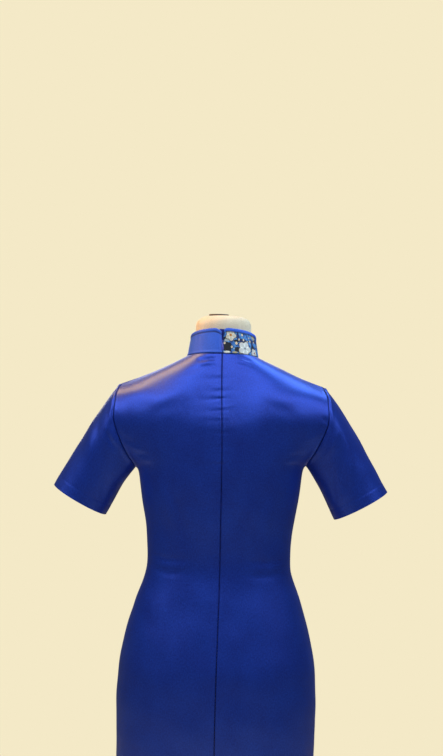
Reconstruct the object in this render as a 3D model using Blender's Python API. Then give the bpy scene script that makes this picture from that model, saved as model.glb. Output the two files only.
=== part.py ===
"""Cheongsam dress worn by a limbless dress form that stands on a pole and a round base.

Metres. +Z is up, the wearer faces -Y, the wearer's left arm is on +X, and the origin is the
centre of the base's underside.
"""
import math

import bpy
import numpy as np

# ------------------------------------------------------------------ named sizes (metres)
MM = 0.001
WALL = 1.2 * MM                 # cloth thickness
GAP = 0.15 * MM                 # each piece stands this far back from a shared seam line
Z_HEM = 0.450
Z_SLIT_TOP = 0.665              # the side slits run from here to the hem
SLIT_SPREAD = math.radians(2.6)
Z_UNDERARM = 1.216
Z_SHOULDER = 1.361              # shoulder tip
SHOULDER_RUN = 0.131            # shoulder seam length, tip to neck
V_NECK = Z_SHOULDER + SHOULDER_RUN
ARMHOLE_BACK = math.radians(29.0)
ARMHOLE_FRONT = math.radians(31.0)
ARMHOLE_STEPS = 11

COLLAR_TOP = dict(zs=1.452, zb=1.466, zf=1.392, a=0.0585, arm=0.0585, yb=0.0525, yf=0.0625, n=2.0)
BINDING_HEIGHT = 6.0 * MM
BINDING_CROWN = 1.4 * MM
SLIT_AT_TOP = 2.3 * MM          # half the gap between the collar ends, at the top
COLLAR_DIP_LEFT, COLLAR_DIP_LEFT_RUN = 6.0 * MM, 10.0 * MM
COLLAR_DIP_RIGHT, COLLAR_DIP_RIGHT_RUN = 2.8 * MM, 7.0 * MM

SLEEVE_OUTER_HEM = (0.308, 1.171)   # x, z of the hem's outer point
SLEEVE_INNER_HEM = (0.212, 1.118)
SLEEVE_HALF_DEPTH = 0.047
SLEEVE_Y = -0.006

ZIP_WIDTH = 12.0 * MM
ZIP_THICK = 0.8 * MM
ZIP_BOTTOM = 0.955
SLIDER_W = 0.47                 # place of the slider on the collar's height
PULL_LENGTH = 17.0 * MM
PULL_HINGE_OUT = 2.1 * MM

POLE_RADIUS = 12.5 * MM
SOCKET_RADIUS = 12.8 * MM
BASE_RADIUS = 0.175
FORM_BOTTOM = 0.700

# one row per level of the dress: v runs up the side seam and then along the shoulder seam;
# zs, zb, zf are the heights at side, back and front; a is the half width, arm the half width
# that the loop has at its very side, beyond the armhole's edge; yb, yf are the depths
DRESS = dict(
    columns="v      zs      zb      zf      a       arm     yb      yf      n",
    rows=[
        (0.450, 0.4500, 0.4500, 0.4500, 0.1780, 0.1780, 0.0980, 0.1000, 2.35),
        (0.560, 0.5600, 0.5600, 0.5600, 0.1790, 0.1790, 0.1020, 0.1020, 2.35),
        (0.665, 0.6650, 0.6650, 0.6650, 0.1810, 0.1810, 0.1090, 0.1040, 2.35),
        (0.780, 0.7800, 0.7800, 0.7800, 0.1830, 0.1830, 0.1180, 0.1040, 2.30),
        (0.840, 0.8400, 0.8400, 0.8400, 0.1800, 0.1800, 0.1170, 0.1020, 2.30),
        (0.900, 0.9000, 0.9000, 0.9000, 0.1700, 0.1700, 0.1070, 0.0990, 2.25),
        (0.960, 0.9600, 0.9600, 0.9600, 0.1530, 0.1530, 0.0930, 0.0960, 2.20),
        (1.035, 1.0350, 1.0350, 1.0350, 0.1310, 0.1310, 0.0790, 0.0910, 2.20),
        (1.085, 1.0850, 1.0850, 1.0850, 0.1330, 0.1330, 0.0830, 0.0990, 2.20),
        (1.140, 1.1400, 1.1400, 1.1400, 0.1415, 0.1415, 0.0905, 0.1160, 2.20),
        (1.180, 1.1800, 1.1800, 1.1800, 0.1475, 0.1475, 0.0950, 0.1265, 2.20),
        (1.216, 1.2160, 1.2160, 1.2160, 0.1520, 0.1520, 0.0980, 0.1270, 2.20),
        (1.237, 1.2390, 1.2365, 1.2340, 0.1570, 0.1870, 0.0992, 0.1245, 2.20),
        (1.2885, 1.3130, 1.2840, 1.2640, 0.1700, 0.2577, 0.1000, 0.1150, 2.20),
        (1.340, 1.3510, 1.3210, 1.2830, 0.1810, 0.2129, 0.0940, 0.1040, 2.15),
        (1.361, 1.3610, 1.3350, 1.2910, 0.1860, 0.1860, 0.0900, 0.0990, 2.15),
        (1.407, 1.3775, 1.3680, 1.3130, 0.1440, 0.1440, 0.0800, 0.0880, 2.10),
        (1.453, 1.3960, 1.3980, 1.3330, 0.1015, 0.1015, 0.0695, 0.0765, 2.05),
        (1.492, 1.4130, 1.4200, 1.3500, 0.0655, 0.0655, 0.0600, 0.0640, 2.00),
    ])

# the same columns for the dress form, which lies inside the cloth
FORM = dict(
    columns=DRESS["columns"],
    rows=[
        (0.700, 0.7000, 0.7000, 0.7000, 0.1630, 0.1630, 0.0930, 0.0860, 2.30),
        (0.706, 0.7060, 0.7060, 0.7060, 0.1750, 0.1750, 0.1050, 0.0975, 2.30),
        (0.718, 0.7180, 0.7180, 0.7180, 0.1790, 0.1790, 0.1100, 0.1010, 2.30),
        (0.780, 0.7800, 0.7800, 0.7800, 0.1800, 0.1800, 0.1148, 0.1010, 2.30),
        (0.840, 0.8400, 0.8400, 0.8400, 0.1770, 0.1770, 0.1138, 0.0990, 2.30),
        (0.900, 0.9000, 0.9000, 0.9000, 0.1670, 0.1670, 0.1038, 0.0960, 2.25),
        (0.960, 0.9600, 0.9600, 0.9600, 0.1500, 0.1500, 0.0898, 0.0930, 2.20),
        (1.035, 1.0350, 1.0350, 1.0350, 0.1280, 0.1280, 0.0758, 0.0880, 2.20),
        (1.085, 1.0850, 1.0850, 1.0850, 0.1300, 0.1300, 0.0798, 0.0960, 2.20),
        (1.140, 1.1400, 1.1400, 1.1400, 0.1385, 0.1385, 0.0873, 0.1130, 2.20),
        (1.180, 1.1800, 1.1800, 1.1800, 0.1445, 0.1445, 0.0918, 0.1235, 2.20),
        (1.216, 1.2160, 1.2160, 1.2160, 0.1490, 0.1490, 0.0948, 0.1240, 2.20),
        (1.237, 1.2380, 1.2360, 1.2335, 0.1540, 0.1540, 0.0960, 0.1215, 2.20),
        (1.2885, 1.3020, 1.2830, 1.2630, 0.1650, 0.1690, 0.0968, 0.1120, 2.20),
        (1.340, 1.3435, 1.3195, 1.2820, 0.1735, 0.1760, 0.0908, 0.1010, 2.15),
        (1.361, 1.3575, 1.3325, 1.2885, 0.1740, 0.1740, 0.0868, 0.0960, 2.15),
        (1.407, 1.3738, 1.3660, 1.3110, 0.1440, 0.1440, 0.0768, 0.0850, 2.10),
        (1.453, 1.3930, 1.3965, 1.3310, 0.1015, 0.1015, 0.0662, 0.0735, 2.05),
        (1.492, 1.4110, 1.4180, 1.3485, 0.0615, 0.0615, 0.0562, 0.0600, 2.00),
        (1.515, 1.4360, 1.4400, 1.4180, 0.0520, 0.0520, 0.0495, 0.0545, 2.00),
        (1.535, 1.4600, 1.4600, 1.4560, 0.0503, 0.0503, 0.0475, 0.0520, 2.00),
        (1.545, 1.4715, 1.4715, 1.4705, 0.0499, 0.0499, 0.0470, 0.0512, 2.00),
        (1.552, 1.4785, 1.4785, 1.4780, 0.0474, 0.0474, 0.0448, 0.0482, 2.00),
        (1.557, 1.4835, 1.4835, 1.4832, 0.0427, 0.0427, 0.0405, 0.0432, 2.00),
        (1.5615, 1.4875, 1.4875, 1.4873, 0.0345, 0.0345, 0.0330, 0.0350, 2.00),
        (1.566, 1.4898, 1.4898, 1.4898, 0.0225, 0.0225, 0.0220, 0.0230, 2.00),
    ])

COLUMN_FRACTIONS = [0.0, 0.015, 0.04, 0.10, 0.19, 0.30, 0.42, 0.55, 0.69, 0.84, 1.0]
BODY_LEVELS = [0.450, 0.520, 0.595, 0.665, 0.725, 0.785, 0.845, 0.900, 0.955,
               0.995, 1.035, 1.080, 1.125, 1.160, 1.190, 1.216]
YOKE_STEPS = [0.25, 0.5, 0.75, 1.0]
COLLAR_STEPS = [0.0, 0.35, 0.7, 1.0]
SLEEVE_STEPS = [0.0, 0.06, 0.16, 0.30, 0.48, 0.66, 0.84, 1.0]

COLOURS = {
    "satin": (0.040, 0.085, 0.480, 1.0),
    "figured": (0.170, 0.300, 0.560, 1.0),
    "zip_cloth": (0.030, 0.035, 0.160, 1.0),
    "zip_metal": (0.080, 0.090, 0.330, 1.0),
    "linen": (0.500, 0.440, 0.360, 1.0),
    "neck_plate": (0.090, 0.065, 0.050, 1.0),
    "pole": (0.600, 0.600, 0.610, 1.0),
    "base": (0.040, 0.040, 0.042, 1.0),
}

for stale in list(bpy.data.objects):
    bpy.data.objects.remove(stale, do_unlink=True)


def unit(vector):
    return vector / max(np.linalg.norm(vector), 1e-12)


def smooth_column(table, column, v):
    """Monotone cubic through one column of a table."""
    xs = [row[0] for row in table["rows"]]
    ys = [row[column] for row in table["rows"]]
    count = len(xs)
    v = min(max(v, xs[0]), xs[-1])
    steps = [xs[i + 1] - xs[i] for i in range(count - 1)]
    slopes = [(ys[i + 1] - ys[i]) / steps[i] for i in range(count - 1)]

    def tangent(i):
        if i == 0:
            return slopes[0]
        if i == count - 1:
            return slopes[-1]
        if slopes[i - 1] * slopes[i] <= 0:
            return 0.0
        w1 = 2 * steps[i] + steps[i - 1]
        w2 = steps[i] + 2 * steps[i - 1]
        return (w1 + w2) / (w1 / slopes[i - 1] + w2 / slopes[i])

    i = 0
    while i < count - 2 and v > xs[i + 1]:
        i += 1
    t = (v - xs[i]) / steps[i]
    h00, h10 = (1 + 2 * t) * (1 - t) ** 2, t * (1 - t) ** 2
    h01, h11 = t * t * (3 - 2 * t), t * t * (t - 1)
    return h00 * ys[i] + h10 * steps[i] * tangent(i) + h01 * ys[i + 1] + h11 * steps[i] * tangent(i + 1)


def loop_point(section, phi):
    """A point of one loop around the body: phi 0 is centre back, +90 degrees the left side."""
    s, c = math.sin(phi), math.cos(phi)
    power = 2.0 / section["n"]
    sx = math.copysign(abs(s) ** power, s)
    cy = abs(c) ** power
    width = section["a"] + (section["arm"] - section["a"]) * s ** 4
    depth, height = (section["yb"], section["zb"]) if c >= 0 else (-section["yf"], section["zf"])
    return np.array((width * sx, depth * cy, section["zs"] + (height - section["zs"]) * cy))


def section_at(table, v):
    names = ("zs", "zb", "zf", "a", "arm", "yb", "yf", "n")
    return {name: smooth_column(table, i + 1, v) for i, name in enumerate(names)}


def dress_point(phi, v):
    return loop_point(section_at(DRESS, v), phi)


def normal_of(surface, p, q, dp=1e-3, dq=1e-3):
    along = surface(p + dp, q) - surface(p - dp, q)
    up = surface(p, q + dq) - surface(p, q - dq)
    return unit(np.cross(up, along))


def dress_normal(phi, v):
    out = normal_of(dress_point, phi, v, 1e-3, 5e-4)
    return out if np.dot(out, np.array((math.sin(phi), math.cos(phi), 0.25))) > 0 else -out


# ------------------------------------------------------------------ collar and sleeve surfaces
def collar_point(phi, w, side=1):
    """The stand collar from the neck seam (w 0) to its bound top edge (w 1)."""
    turn = abs(phi)
    spread = (0.25 * MM + (SLIT_AT_TOP - 0.25 * MM) * w) / 0.0575
    turn = turn + spread * max(0.0, 1.0 - turn / math.radians(14))
    base = dress_point(turn, V_NECK)
    top = loop_point(COLLAR_TOP, turn)
    top = top + unit(base - top) * BINDING_CROWN
    dip, run = ((COLLAR_DIP_LEFT, COLLAR_DIP_LEFT_RUN) if side > 0
                else (COLLAR_DIP_RIGHT, COLLAR_DIP_RIGHT_RUN))
    arc = max(0.0, turn - SLIT_AT_TOP / 0.0575) * 0.0575
    lower = dip * max(0.0, 1.0 - arc / run) ** 2
    top = top + unit(base - top) * lower
    point = base + (top - base) * w
    point[0] = max(point[0], GAP)
    return point * np.array((side, 1, 1))


def collar_normal(phi, w, side=1):
    eps = 2e-3
    turn = min(max(phi, 0.03), math.pi - 0.03)
    a = collar_point(turn + eps, w, 1) - collar_point(turn - eps, w, 1)
    low, high = max(w - 0.05, 0.0), min(w + 0.05, 1.0)
    b = collar_point(turn, high, 1) - collar_point(turn, low, 1)
    out = unit(np.cross(b, a))
    centre = np.array((math.sin(turn), math.cos(turn), 0.0))
    if np.dot(out, centre) < 0:
        out = -out
    if phi <= 0.03 or phi >= math.pi - 0.03:
        out = unit(out * np.array((0, 1, 1)))
    return out * np.array((side, 1, 1))


def armhole_place(alpha):
    """phi and v of the armhole at an angle alpha: 0 underarm, pi shoulder tip, back then front."""
    v = Z_UNDERARM + (Z_SHOULDER - Z_UNDERARM) * (1 - math.cos(alpha)) / 2
    s = math.sin(alpha)
    return (math.pi / 2 - ARMHOLE_BACK * s, v) if s >= 0 else (math.pi / 2 - ARMHOLE_FRONT * s, v)


def armhole_point(alpha):
    return dress_point(*armhole_place(alpha))


HEM_OUT = np.array((SLEEVE_OUTER_HEM[0], SLEEVE_Y, SLEEVE_OUTER_HEM[1]))
HEM_IN = np.array((SLEEVE_INNER_HEM[0], SLEEVE_Y, SLEEVE_INNER_HEM[1]))
HEM_CENTRE = (HEM_OUT + HEM_IN) / 2
HEM_RADIUS = np.linalg.norm(HEM_OUT - HEM_IN) / 2
SLEEVE_UP = unit(HEM_OUT - HEM_IN)
SLEEVE_AXIS = np.array((SLEEVE_UP[2], 0.0, -SLEEVE_UP[0]))


def sleeve_point(alpha, t):
    """The left sleeve from its armhole (t 0) to its hem (t 1)."""
    start = armhole_point(alpha)
    c, s = math.cos(alpha), math.sin(alpha)
    across = np.array((0.0, 1.0, 0.0))
    end = HEM_CENTRE - SLEEVE_UP * HEM_RADIUS * c + across * SLEEVE_HALF_DEPTH * s
    radial = -SLEEVE_UP * c + across * s
    lean = 0.125 - 0.325 * c
    leave = unit(SLEEVE_AXIS + radial * lean)
    reach = np.linalg.norm(end - start)
    p1 = start + leave * reach * (0.22 + 0.08 * c)
    p2 = end - SLEEVE_AXIS * reach * 0.34
    u = 1 - t
    return u ** 3 * start + 3 * u * u * t * p1 + 3 * u * t * t * p2 + t ** 3 * end


def sleeve_normal(alpha, t):
    low, high = max(t - 0.02, 0.0), min(t + 0.02, 1.0)
    along = sleeve_point(alpha, high) - sleeve_point(alpha, low)
    around = sleeve_point(alpha + 2e-2, t) - sleeve_point(alpha - 2e-2, t)
    out = unit(np.cross(along, around))
    c, s = math.cos(alpha), math.sin(alpha)
    radial = -SLEEVE_UP * c + np.array((0.0, 1.0, 0.0)) * s
    return out if np.dot(out, radial) > 0 else -out


def mitre(first, second, tangent, towards_second):
    """Shared wall direction at a seam, and the seam plane's normal towards the second piece."""
    middle = unit(first + second)
    reach = 1.0 / max(float(np.dot(middle, first)), 0.38)
    plane = unit(np.cross(tangent, middle))
    if np.dot(plane, towards_second) < 0:
        plane = -plane
    return middle * reach, plane


def armhole_mitre(alpha):
    phi, v = armhole_place(alpha)
    tangent = armhole_point(alpha + 0.03) - armhole_point(alpha - 0.03)
    away = unit(sleeve_point(alpha, 0.08) - sleeve_point(alpha, 0.0))
    return mitre(dress_normal(phi, v), sleeve_normal(alpha, 0.0), tangent, away)


def neck_mitre(turn):
    """turn is |phi|; the result is for the left half."""
    tangent = dress_point(turn + 0.02, V_NECK) - dress_point(turn - 0.02, V_NECK)
    up = unit(collar_point(turn, 0.3) - collar_point(turn, 0.0))
    below = unit(dress_point(turn, V_NECK) - dress_point(turn, V_NECK - 0.01))
    side = unit(np.cross(below, unit(tangent)))
    centre = np.array((math.sin(turn), math.cos(turn), 0.0))
    if np.dot(side, centre) < 0:
        side = -side
    wall, plane = mitre(side, collar_normal(turn, 0.1), tangent, up)
    if turn < 1e-6 or turn > math.pi - 1e-6:
        wall, plane = wall * np.array((0, 1, 1)), unit(plane * np.array((0, 1, 1)))
    return wall, plane


# ------------------------------------------------------------------ building solids
def add_object(name, points, faces, slot, smooth=True):
    mesh = bpy.data.meshes.new(name)
    mesh.from_pydata([tuple(map(float, p)) for p in points], [], faces)
    mesh.update()
    obj = bpy.data.objects.new(name, mesh)
    bpy.context.scene.collection.objects.link(obj)
    bpy.ops.object.select_all(action="DESELECT")
    obj.select_set(True)
    bpy.context.view_layer.objects.active = obj
    bpy.ops.object.mode_set(mode="EDIT")
    bpy.ops.mesh.select_all(action="SELECT")
    bpy.ops.mesh.quads_convert_to_tris(quad_method="SHORTEST_DIAGONAL")
    bpy.ops.mesh.normals_make_consistent(inside=False)
    bpy.ops.object.mode_set(mode="OBJECT")
    if smooth:
        for polygon in mesh.polygons:
            polygon.use_smooth = True
    material = bpy.data.materials.get(slot)
    if material is None:
        material = bpy.data.materials.new(slot)
        material.use_nodes = True
        shader = material.node_tree.nodes["Principled BSDF"]
        shader.inputs["Base Color"].default_value = COLOURS[slot]
        shader.inputs["Roughness"].default_value = 0.45
        material.diffuse_color = COLOURS[slot]
    mesh.materials.append(material)
    return obj


def sheet_solid(name, middle, wall, slot, closed=False):
    """A cloth piece: middle[i][j] is its mid surface, wall[i][j] the half-thickness vector."""
    rows, cols = len(middle), len(middle[0])
    points = [middle[i][j] + wall[i][j] for i in range(rows) for j in range(cols)]
    points += [middle[i][j] - wall[i][j] for i in range(rows) for j in range(cols)]
    skin = rows * cols

    def at(i, j, layer):
        return layer * skin + i * cols + j % cols

    faces = []
    for i in range(rows - 1):
        for j in range(cols if closed else cols - 1):
            faces.append((at(i, j, 0), at(i, j + 1, 0), at(i + 1, j + 1, 0), at(i + 1, j, 0)))
            faces.append((at(i, j, 1), at(i + 1, j, 1), at(i + 1, j + 1, 1), at(i, j + 1, 1)))
    for j in range(cols if closed else cols - 1):
        for i, flip in ((0, False), (rows - 1, True)):
            quad = (at(i, j, 0), at(i, j, 1), at(i, j + 1, 1), at(i, j + 1, 0))
            faces.append(tuple(reversed(quad)) if flip else quad)
    if not closed:
        for i in range(rows - 1):
            for j, flip in ((0, True), (cols - 1, False)):
                quad = (at(i, j, 0), at(i, j, 1), at(i + 1, j, 1), at(i + 1, j, 0))
                faces.append(tuple(reversed(quad)) if flip else quad)
    return add_object(name, points, faces, slot)


def ring_solid(name, rings, slot, smooth=True):
    """A closed solid through a list of rings of equal length, with flat ends."""
    count = len(rings[0])
    points = [p for ring in rings for p in ring]
    faces = []
    for i in range(len(rings) - 1):
        for j in range(count):
            k = (j + 1) % count
            faces.append((i * count + j, i * count + k, (i + 1) * count + k, (i + 1) * count + j))
    faces.append(tuple(range(count)))
    faces.append(tuple(reversed(range((len(rings) - 1) * count, len(rings) * count))))
    return add_object(name, points, faces, slot, smooth)


def levels():
    """(v, armhole angle or None) for each row of the body panels, hem to neck."""
    rows = [(v, None) for v in BODY_LEVELS[:-1]]
    for k in range(ARMHOLE_STEPS + 1):
        alpha = math.pi * k / ARMHOLE_STEPS
        rows.append((Z_UNDERARM + (Z_SHOULDER - Z_UNDERARM) * (1 - math.cos(alpha)) / 2, alpha))
    rows += [(Z_SHOULDER + SHOULDER_RUN * g, None) for g in YOKE_STEPS]
    return rows


def half_panel(back):
    """Left half of the back (phi 0 to the side) or of the front (side to phi pi), left side."""
    middle, wall = [], []
    for row, (v, alpha) in enumerate(levels()):
        edge = math.pi / 2
        if v < Z_SLIT_TOP:
            edge -= SLIT_SPREAD * (Z_SLIT_TOP - v) / (Z_SLIT_TOP - Z_HEM)
        if alpha is not None:
            edge -= (ARMHOLE_BACK if back else ARMHOLE_FRONT) * math.sin(alpha)
        neck = row == len(levels()) - 1
        points, walls = [], []
        for fraction in COLUMN_FRACTIONS:
            turn = edge * fraction
            phi = turn if back else math.pi - turn
            point = dress_point(phi, v)
            half = dress_normal(phi, v) * (WALL / 2)
            if fraction == 0.0:
                half = half * np.array((0, 1, 1))
            if neck:
                direction, plane = neck_mitre(phi)
                half = direction * (WALL / 2)
                point = point - plane * GAP
            if fraction == 0.0 and back:
                point = point + np.array((GAP, 0, 0))
            if fraction == 1.0:
                if alpha is not None:
                    ring = alpha if back else 2 * math.pi - alpha
                    direction, plane = armhole_mitre(ring)
                    half = direction * (WALL / 2)
                    point = point - plane * GAP
                if alpha is None or row in (len(BODY_LEVELS) - 1, len(BODY_LEVELS) - 1 + ARMHOLE_STEPS):
                    point = point + np.array((0, GAP if back else -GAP, 0))
            points.append(point)
            walls.append(half)
        middle.append(points)
        wall.append(walls)
    return middle, wall


def flipped(rows, reverse=False):
    out = [[p * np.array((-1, 1, 1)) for p in row] for row in rows]
    return [list(reversed(row)) for row in out] if reverse else out


back_middle, back_wall = half_panel(True)
sheet_solid("back_left", back_middle, back_wall, "satin")
sheet_solid("back_right", flipped(back_middle), flipped(back_wall), "satin")
front_middle, front_wall = half_panel(False)
front_m = [list(reversed(left)) + [p for p in right[1:]]
           for left, right in zip(front_middle, flipped(front_middle))]
front_w = [list(reversed(left)) + [p for p in right[1:]]
           for left, right in zip(front_wall, flipped(front_wall))]
sheet_solid("front", front_m, front_w, "satin")

# ------------------------------------------------------------------ sleeves
ring_angles = [math.pi * k / ARMHOLE_STEPS for k in range(2 * ARMHOLE_STEPS)]
sleeve_middle, sleeve_wall = [], []
for t in SLEEVE_STEPS:
    points, walls = [], []
    for alpha in ring_angles:
        point = sleeve_point(alpha, t)
        half = sleeve_normal(alpha, t) * (WALL / 2)
        if t == 0.0:
            direction, plane = armhole_mitre(alpha)
            half = direction * (WALL / 2)
            point = point + plane * GAP
        points.append(point)
        walls.append(half)
    sleeve_middle.append(points)
    sleeve_wall.append(walls)
sheet_solid("sleeve_left", sleeve_middle, sleeve_wall, "satin", closed=True)
sheet_solid("sleeve_right", flipped(sleeve_middle), flipped(sleeve_wall), "satin", closed=True)

# ------------------------------------------------------------------ collar halves and bindings
collar_turns = [math.pi / 2 * f for f in COLUMN_FRACTIONS]
collar_turns += [math.pi - math.pi / 2 * f for f in reversed(COLUMN_FRACTIONS[:-1])]


def collar_half(side):
    middle, wall = [], []
    for w in COLLAR_STEPS:
        points, walls = [], []
        for phi in collar_turns:
            point = collar_point(phi, w, side)
            half = collar_normal(phi, w, side) * (WALL / 2)
            if w == 0.0:
                direction, plane = neck_mitre(phi)
                flip = np.array((side, 1, 1))
                half = direction * flip * (WALL / 2)
                point = point + plane * flip * GAP
            points.append(point)
            walls.append(half)
        middle.append(points)
        wall.append(walls)
    return middle, wall


# the binding's cross-section, out and up from the collar's top edge, in millimetres
BINDING_SECTION = [(-1.75, -BINDING_HEIGHT / MM + 1.4), (-1.75, -0.6), (-1.1, 0.85), (0.0, 1.35), (1.1, 0.85),
                   (1.75, -0.6), (1.75, -BINDING_HEIGHT / MM + 1.4), (0.75, -BINDING_HEIGHT / MM + 1.4),
                   (0.75, 0.32), (-0.75, 0.32), (-0.75, -BINDING_HEIGHT / MM + 1.4)]


def binding(side):
    rings = []
    for phi in collar_turns:
        edge = collar_point(phi, 1.0, side)
        out = collar_normal(phi, 1.0, side)
        up = unit(edge - collar_point(phi, 0.85, side))
        rings.append([edge + out * (o * MM) + up * (u * MM) for o, u in BINDING_SECTION])
    return rings


for side, name, slot in ((1, "left", "satin"), (-1, "right", "figured")):
    middle, wall = collar_half(side)
    sheet_solid("collar_" + name, middle, wall, slot)
    ring_solid("binding_" + name, binding(side), "satin")


# ------------------------------------------------------------------ zip tape, slider and pull
def place_at_x(surface, x):
    """Turn the angle until the surface's point is x from the centre line."""
    low, high = 0.0, math.pi / 3
    for _ in range(40):
        middle = (low + high) / 2
        if surface(middle)[0] < x:
            low = middle
        else:
            high = middle
    return surface((low + high) / 2)


tape_middle, tape_wall = [], []
tape_levels = [v for v, _ in levels() if v >= ZIP_BOTTOM - 1e-6][:-1]
stations = [(lambda turn, v=v: dress_point(turn, v), dress_normal(0.0, v), 0.0) for v in tape_levels]
for w, sink in ((0.03, 0.0), (0.35, 0.0), (0.58, 0.0), (0.70, 1.1 * MM), (0.84, 1.3 * MM),
                (0.95, 1.3 * MM)):
    def behind_collar(turn, w=w):
        base, top = dress_point(turn, V_NECK), loop_point(COLLAR_TOP, turn)
        return base + (top - base) * w
    up = behind_collar(0.0, 1.0) - behind_collar(0.0, 0.0)
    stations.append((behind_collar, unit(np.array((0.0, up[2], -up[1]))), sink))
for surface, normal, sink in stations:
    row = []
    for x in (-ZIP_WIDTH / 2, 0.0, ZIP_WIDTH / 2):
        point = surface(0.0) if x == 0 else place_at_x(surface, abs(x)) * np.array((math.copysign(1, x), 1, 1))
        row.append(point - normal * (WALL / 2 + 0.5 * MM + ZIP_THICK / 2 + sink))
    tape_middle.append(row)
    tape_wall.append([normal * ZIP_THICK / 2] * 3)
sheet_solid("zip_tape", tape_middle, tape_wall, "zip_cloth")

seat_low = dress_point(0.0, V_NECK)
seat_high = loop_point(COLLAR_TOP, 0.0)
ZIP_UP = unit(seat_high - seat_low)
ZIP_OUT = unit(np.array((0.0, ZIP_UP[2], -ZIP_UP[1])))
ZIP_SEAT = seat_low + (seat_high - seat_low) * SLIDER_W
HINGE = ZIP_SEAT + ZIP_OUT * PULL_HINGE_OUT
ACROSS = np.array((1.0, 0.0, 0.0))


def slider():
    """A block that runs on the tape with an eye that holds the pull."""
    count = 24
    outline, hole = [], []
    for k in range(count):
        angle = 2 * math.pi * k / count
        o, u = math.cos(angle), math.sin(angle)
        hole.append((PULL_HINGE_OUT + o * 0.85 * MM, u * 0.85 * MM))
        if o > -0.35:
            outline.append((PULL_HINGE_OUT + o * 1.45 * MM, u * 1.45 * MM))
        else:
            height = 2.2 * MM * (1 if u >= 0 else -1)
            corner = abs(u) > 0.55
            outline.append(((0.75 * MM if abs(u) > 0.9 else -0.85 * MM), height) if corner
                           else (-0.85 * MM, u * 2.2 * MM / 0.55))
    points, faces = [], []
    for x in (-0.7 * MM, 0.7 * MM):
        points += [ZIP_SEAT + ACROSS * x + ZIP_OUT * o + ZIP_UP * u for o, u in outline]
        points += [ZIP_SEAT + ACROSS * x + ZIP_OUT * o + ZIP_UP * u for o, u in hole]
    for j in range(count):
        k = (j + 1) % count
        faces.append((j, k, count + k, count + j))
        faces.append((2 * count + j, 3 * count + j, 3 * count + k, 2 * count + k))
        faces.append((j, 2 * count + j, 2 * count + k, k))
        faces.append((count + j, count + k, 3 * count + k, 3 * count + j))
    return add_object("zip_slider", points, faces, "zip_metal")


def pull():
    """A teardrop tab with a window whose top bar turns in the slider's eye."""
    # columns: distance below the hinge and half width, millimetres
    outline = [(-0.45, 1.35), (0.8, 1.60), (2.4, 1.55), (4.2, 1.30), (7.0, 1.55), (10.0, 2.05),
               (13.0, 2.40), (15.2, 2.10), (16.6, 1.20)]
    window = [(0.45, 0.95), (3.2, 0.95)]
    half = 0.45 * MM
    right = [(x, -d) for d, x in outline]
    left = [(-x, -d) for d, x in reversed(outline)]
    border = right + [(0.0, -PULL_LENGTH / MM)] + left
    hole = [(x, -d) for d, x in window] + [(-x, -d) for d, x in reversed(window)]
    mesh = bpy.data.meshes.new("pull_face")
    points = [HINGE + ACROSS * x * MM + ZIP_UP * u * MM - ZIP_OUT * half for x, u in border + hole]
    count, inner = len(border), len(hole)
    faces = []
    # the face between border and window, split by hand: border ids then window ids
    ids = {"r": list(range(9)), "tip": 9, "l": list(range(10, 19))}
    w0, w1, w2, w3 = count, count + 1, count + 2, count + 3
    faces += [(0, 1, w0), (1, 2, w1, w0), (2, 3, w1), (18, w3, 17), (17, w3, w2, 16), (16, w2, 15)]
    faces += [(0, w0, w3, 18), (3, 15, w2, w1)]
    for k in range(3, 8):
        faces.append((k, k + 1, 18 - k - 1, 18 - k))
    faces.append((8, 9, 10))
    back = [tuple(reversed([i + count + inner for i in face])) for face in faces]
    points += [p + ZIP_OUT * 2 * half for p in points]
    shift = count + inner
    sides = []
    for k in range(count):
        n = (k + 1) % count
        sides.append((k, k + shift, n + shift, n))
    for k in range(inner):
        n = (k + 1) % inner
        sides.append((count + k, count + n, count + n + shift, count + k + shift))
    bpy.data.meshes.remove(mesh)
    return add_object("zip_pull", points, faces + back + sides, "zip_metal")


slider()
pull()

# ------------------------------------------------------------------ dress form, plate, pole, base
FORM_RING = 32
turns = [2 * math.pi * k / FORM_RING for k in range(FORM_RING)]
form_rings = [[np.array((math.sin(t) * SOCKET_RADIUS, math.cos(t) * SOCKET_RADIUS, z)) for t in turns]
              for z in (0.760, FORM_BOTTOM)]
form_levels = [0.700, 0.706, 0.718, 0.750, 0.785, 0.845, 0.900, 0.955, 0.995, 1.035, 1.080, 1.125,
               1.160, 1.190, 1.216, 1.237, 1.262, 1.2885, 1.315, 1.340, 1.3535, 1.361, 1.375, 1.39375,
               1.42650, 1.45925, 1.480, 1.492, 1.503, 1.515, 1.535, 1.545, 1.552, 1.557, 1.5615, 1.566]
for v in form_levels:
    section = section_at(FORM, v)
    form_rings.append([loop_point(section, t) for t in turns])
ring_solid("form_torso", form_rings, "linen")


def turned(name, profile, slot, count=48, centre=(0.0, 0.0)):
    """A solid of revolution from (radius, height) pairs; its first and last rings are closed flat."""
    rings = [[np.array((centre[0] + r * math.cos(2 * math.pi * k / count),
                        centre[1] + r * math.sin(2 * math.pi * k / count), z)) for k in range(count)]
             for r, z in profile]
    return ring_solid(name, rings, slot)


turned("neck_plate", [(0.0175, 1.4902), (0.0186, 1.4909), (0.0186, 1.4928), (0.0178, 1.4936)],
       "neck_plate", 32, (0.0090, -0.001))
turned("pole", [(POLE_RADIUS - 0.001, 0.0203), (POLE_RADIUS, 0.0213), (POLE_RADIUS, 0.7580),
                (POLE_RADIUS - 0.001, 0.7590)], "pole", 32)
turned("base", [(BASE_RADIUS - 0.002, 0.0), (BASE_RADIUS, 0.002), (BASE_RADIUS, 0.009),
                (BASE_RADIUS - 0.003, 0.012), (0.120, 0.0165), (0.045, 0.0215), (0.026, 0.0260),
                (0.022, 0.0330), (0.022, 0.0600), (0.0205, 0.0615), (SOCKET_RADIUS, 0.0615),
                (SOCKET_RADIUS, 0.0200)], "base")
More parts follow.
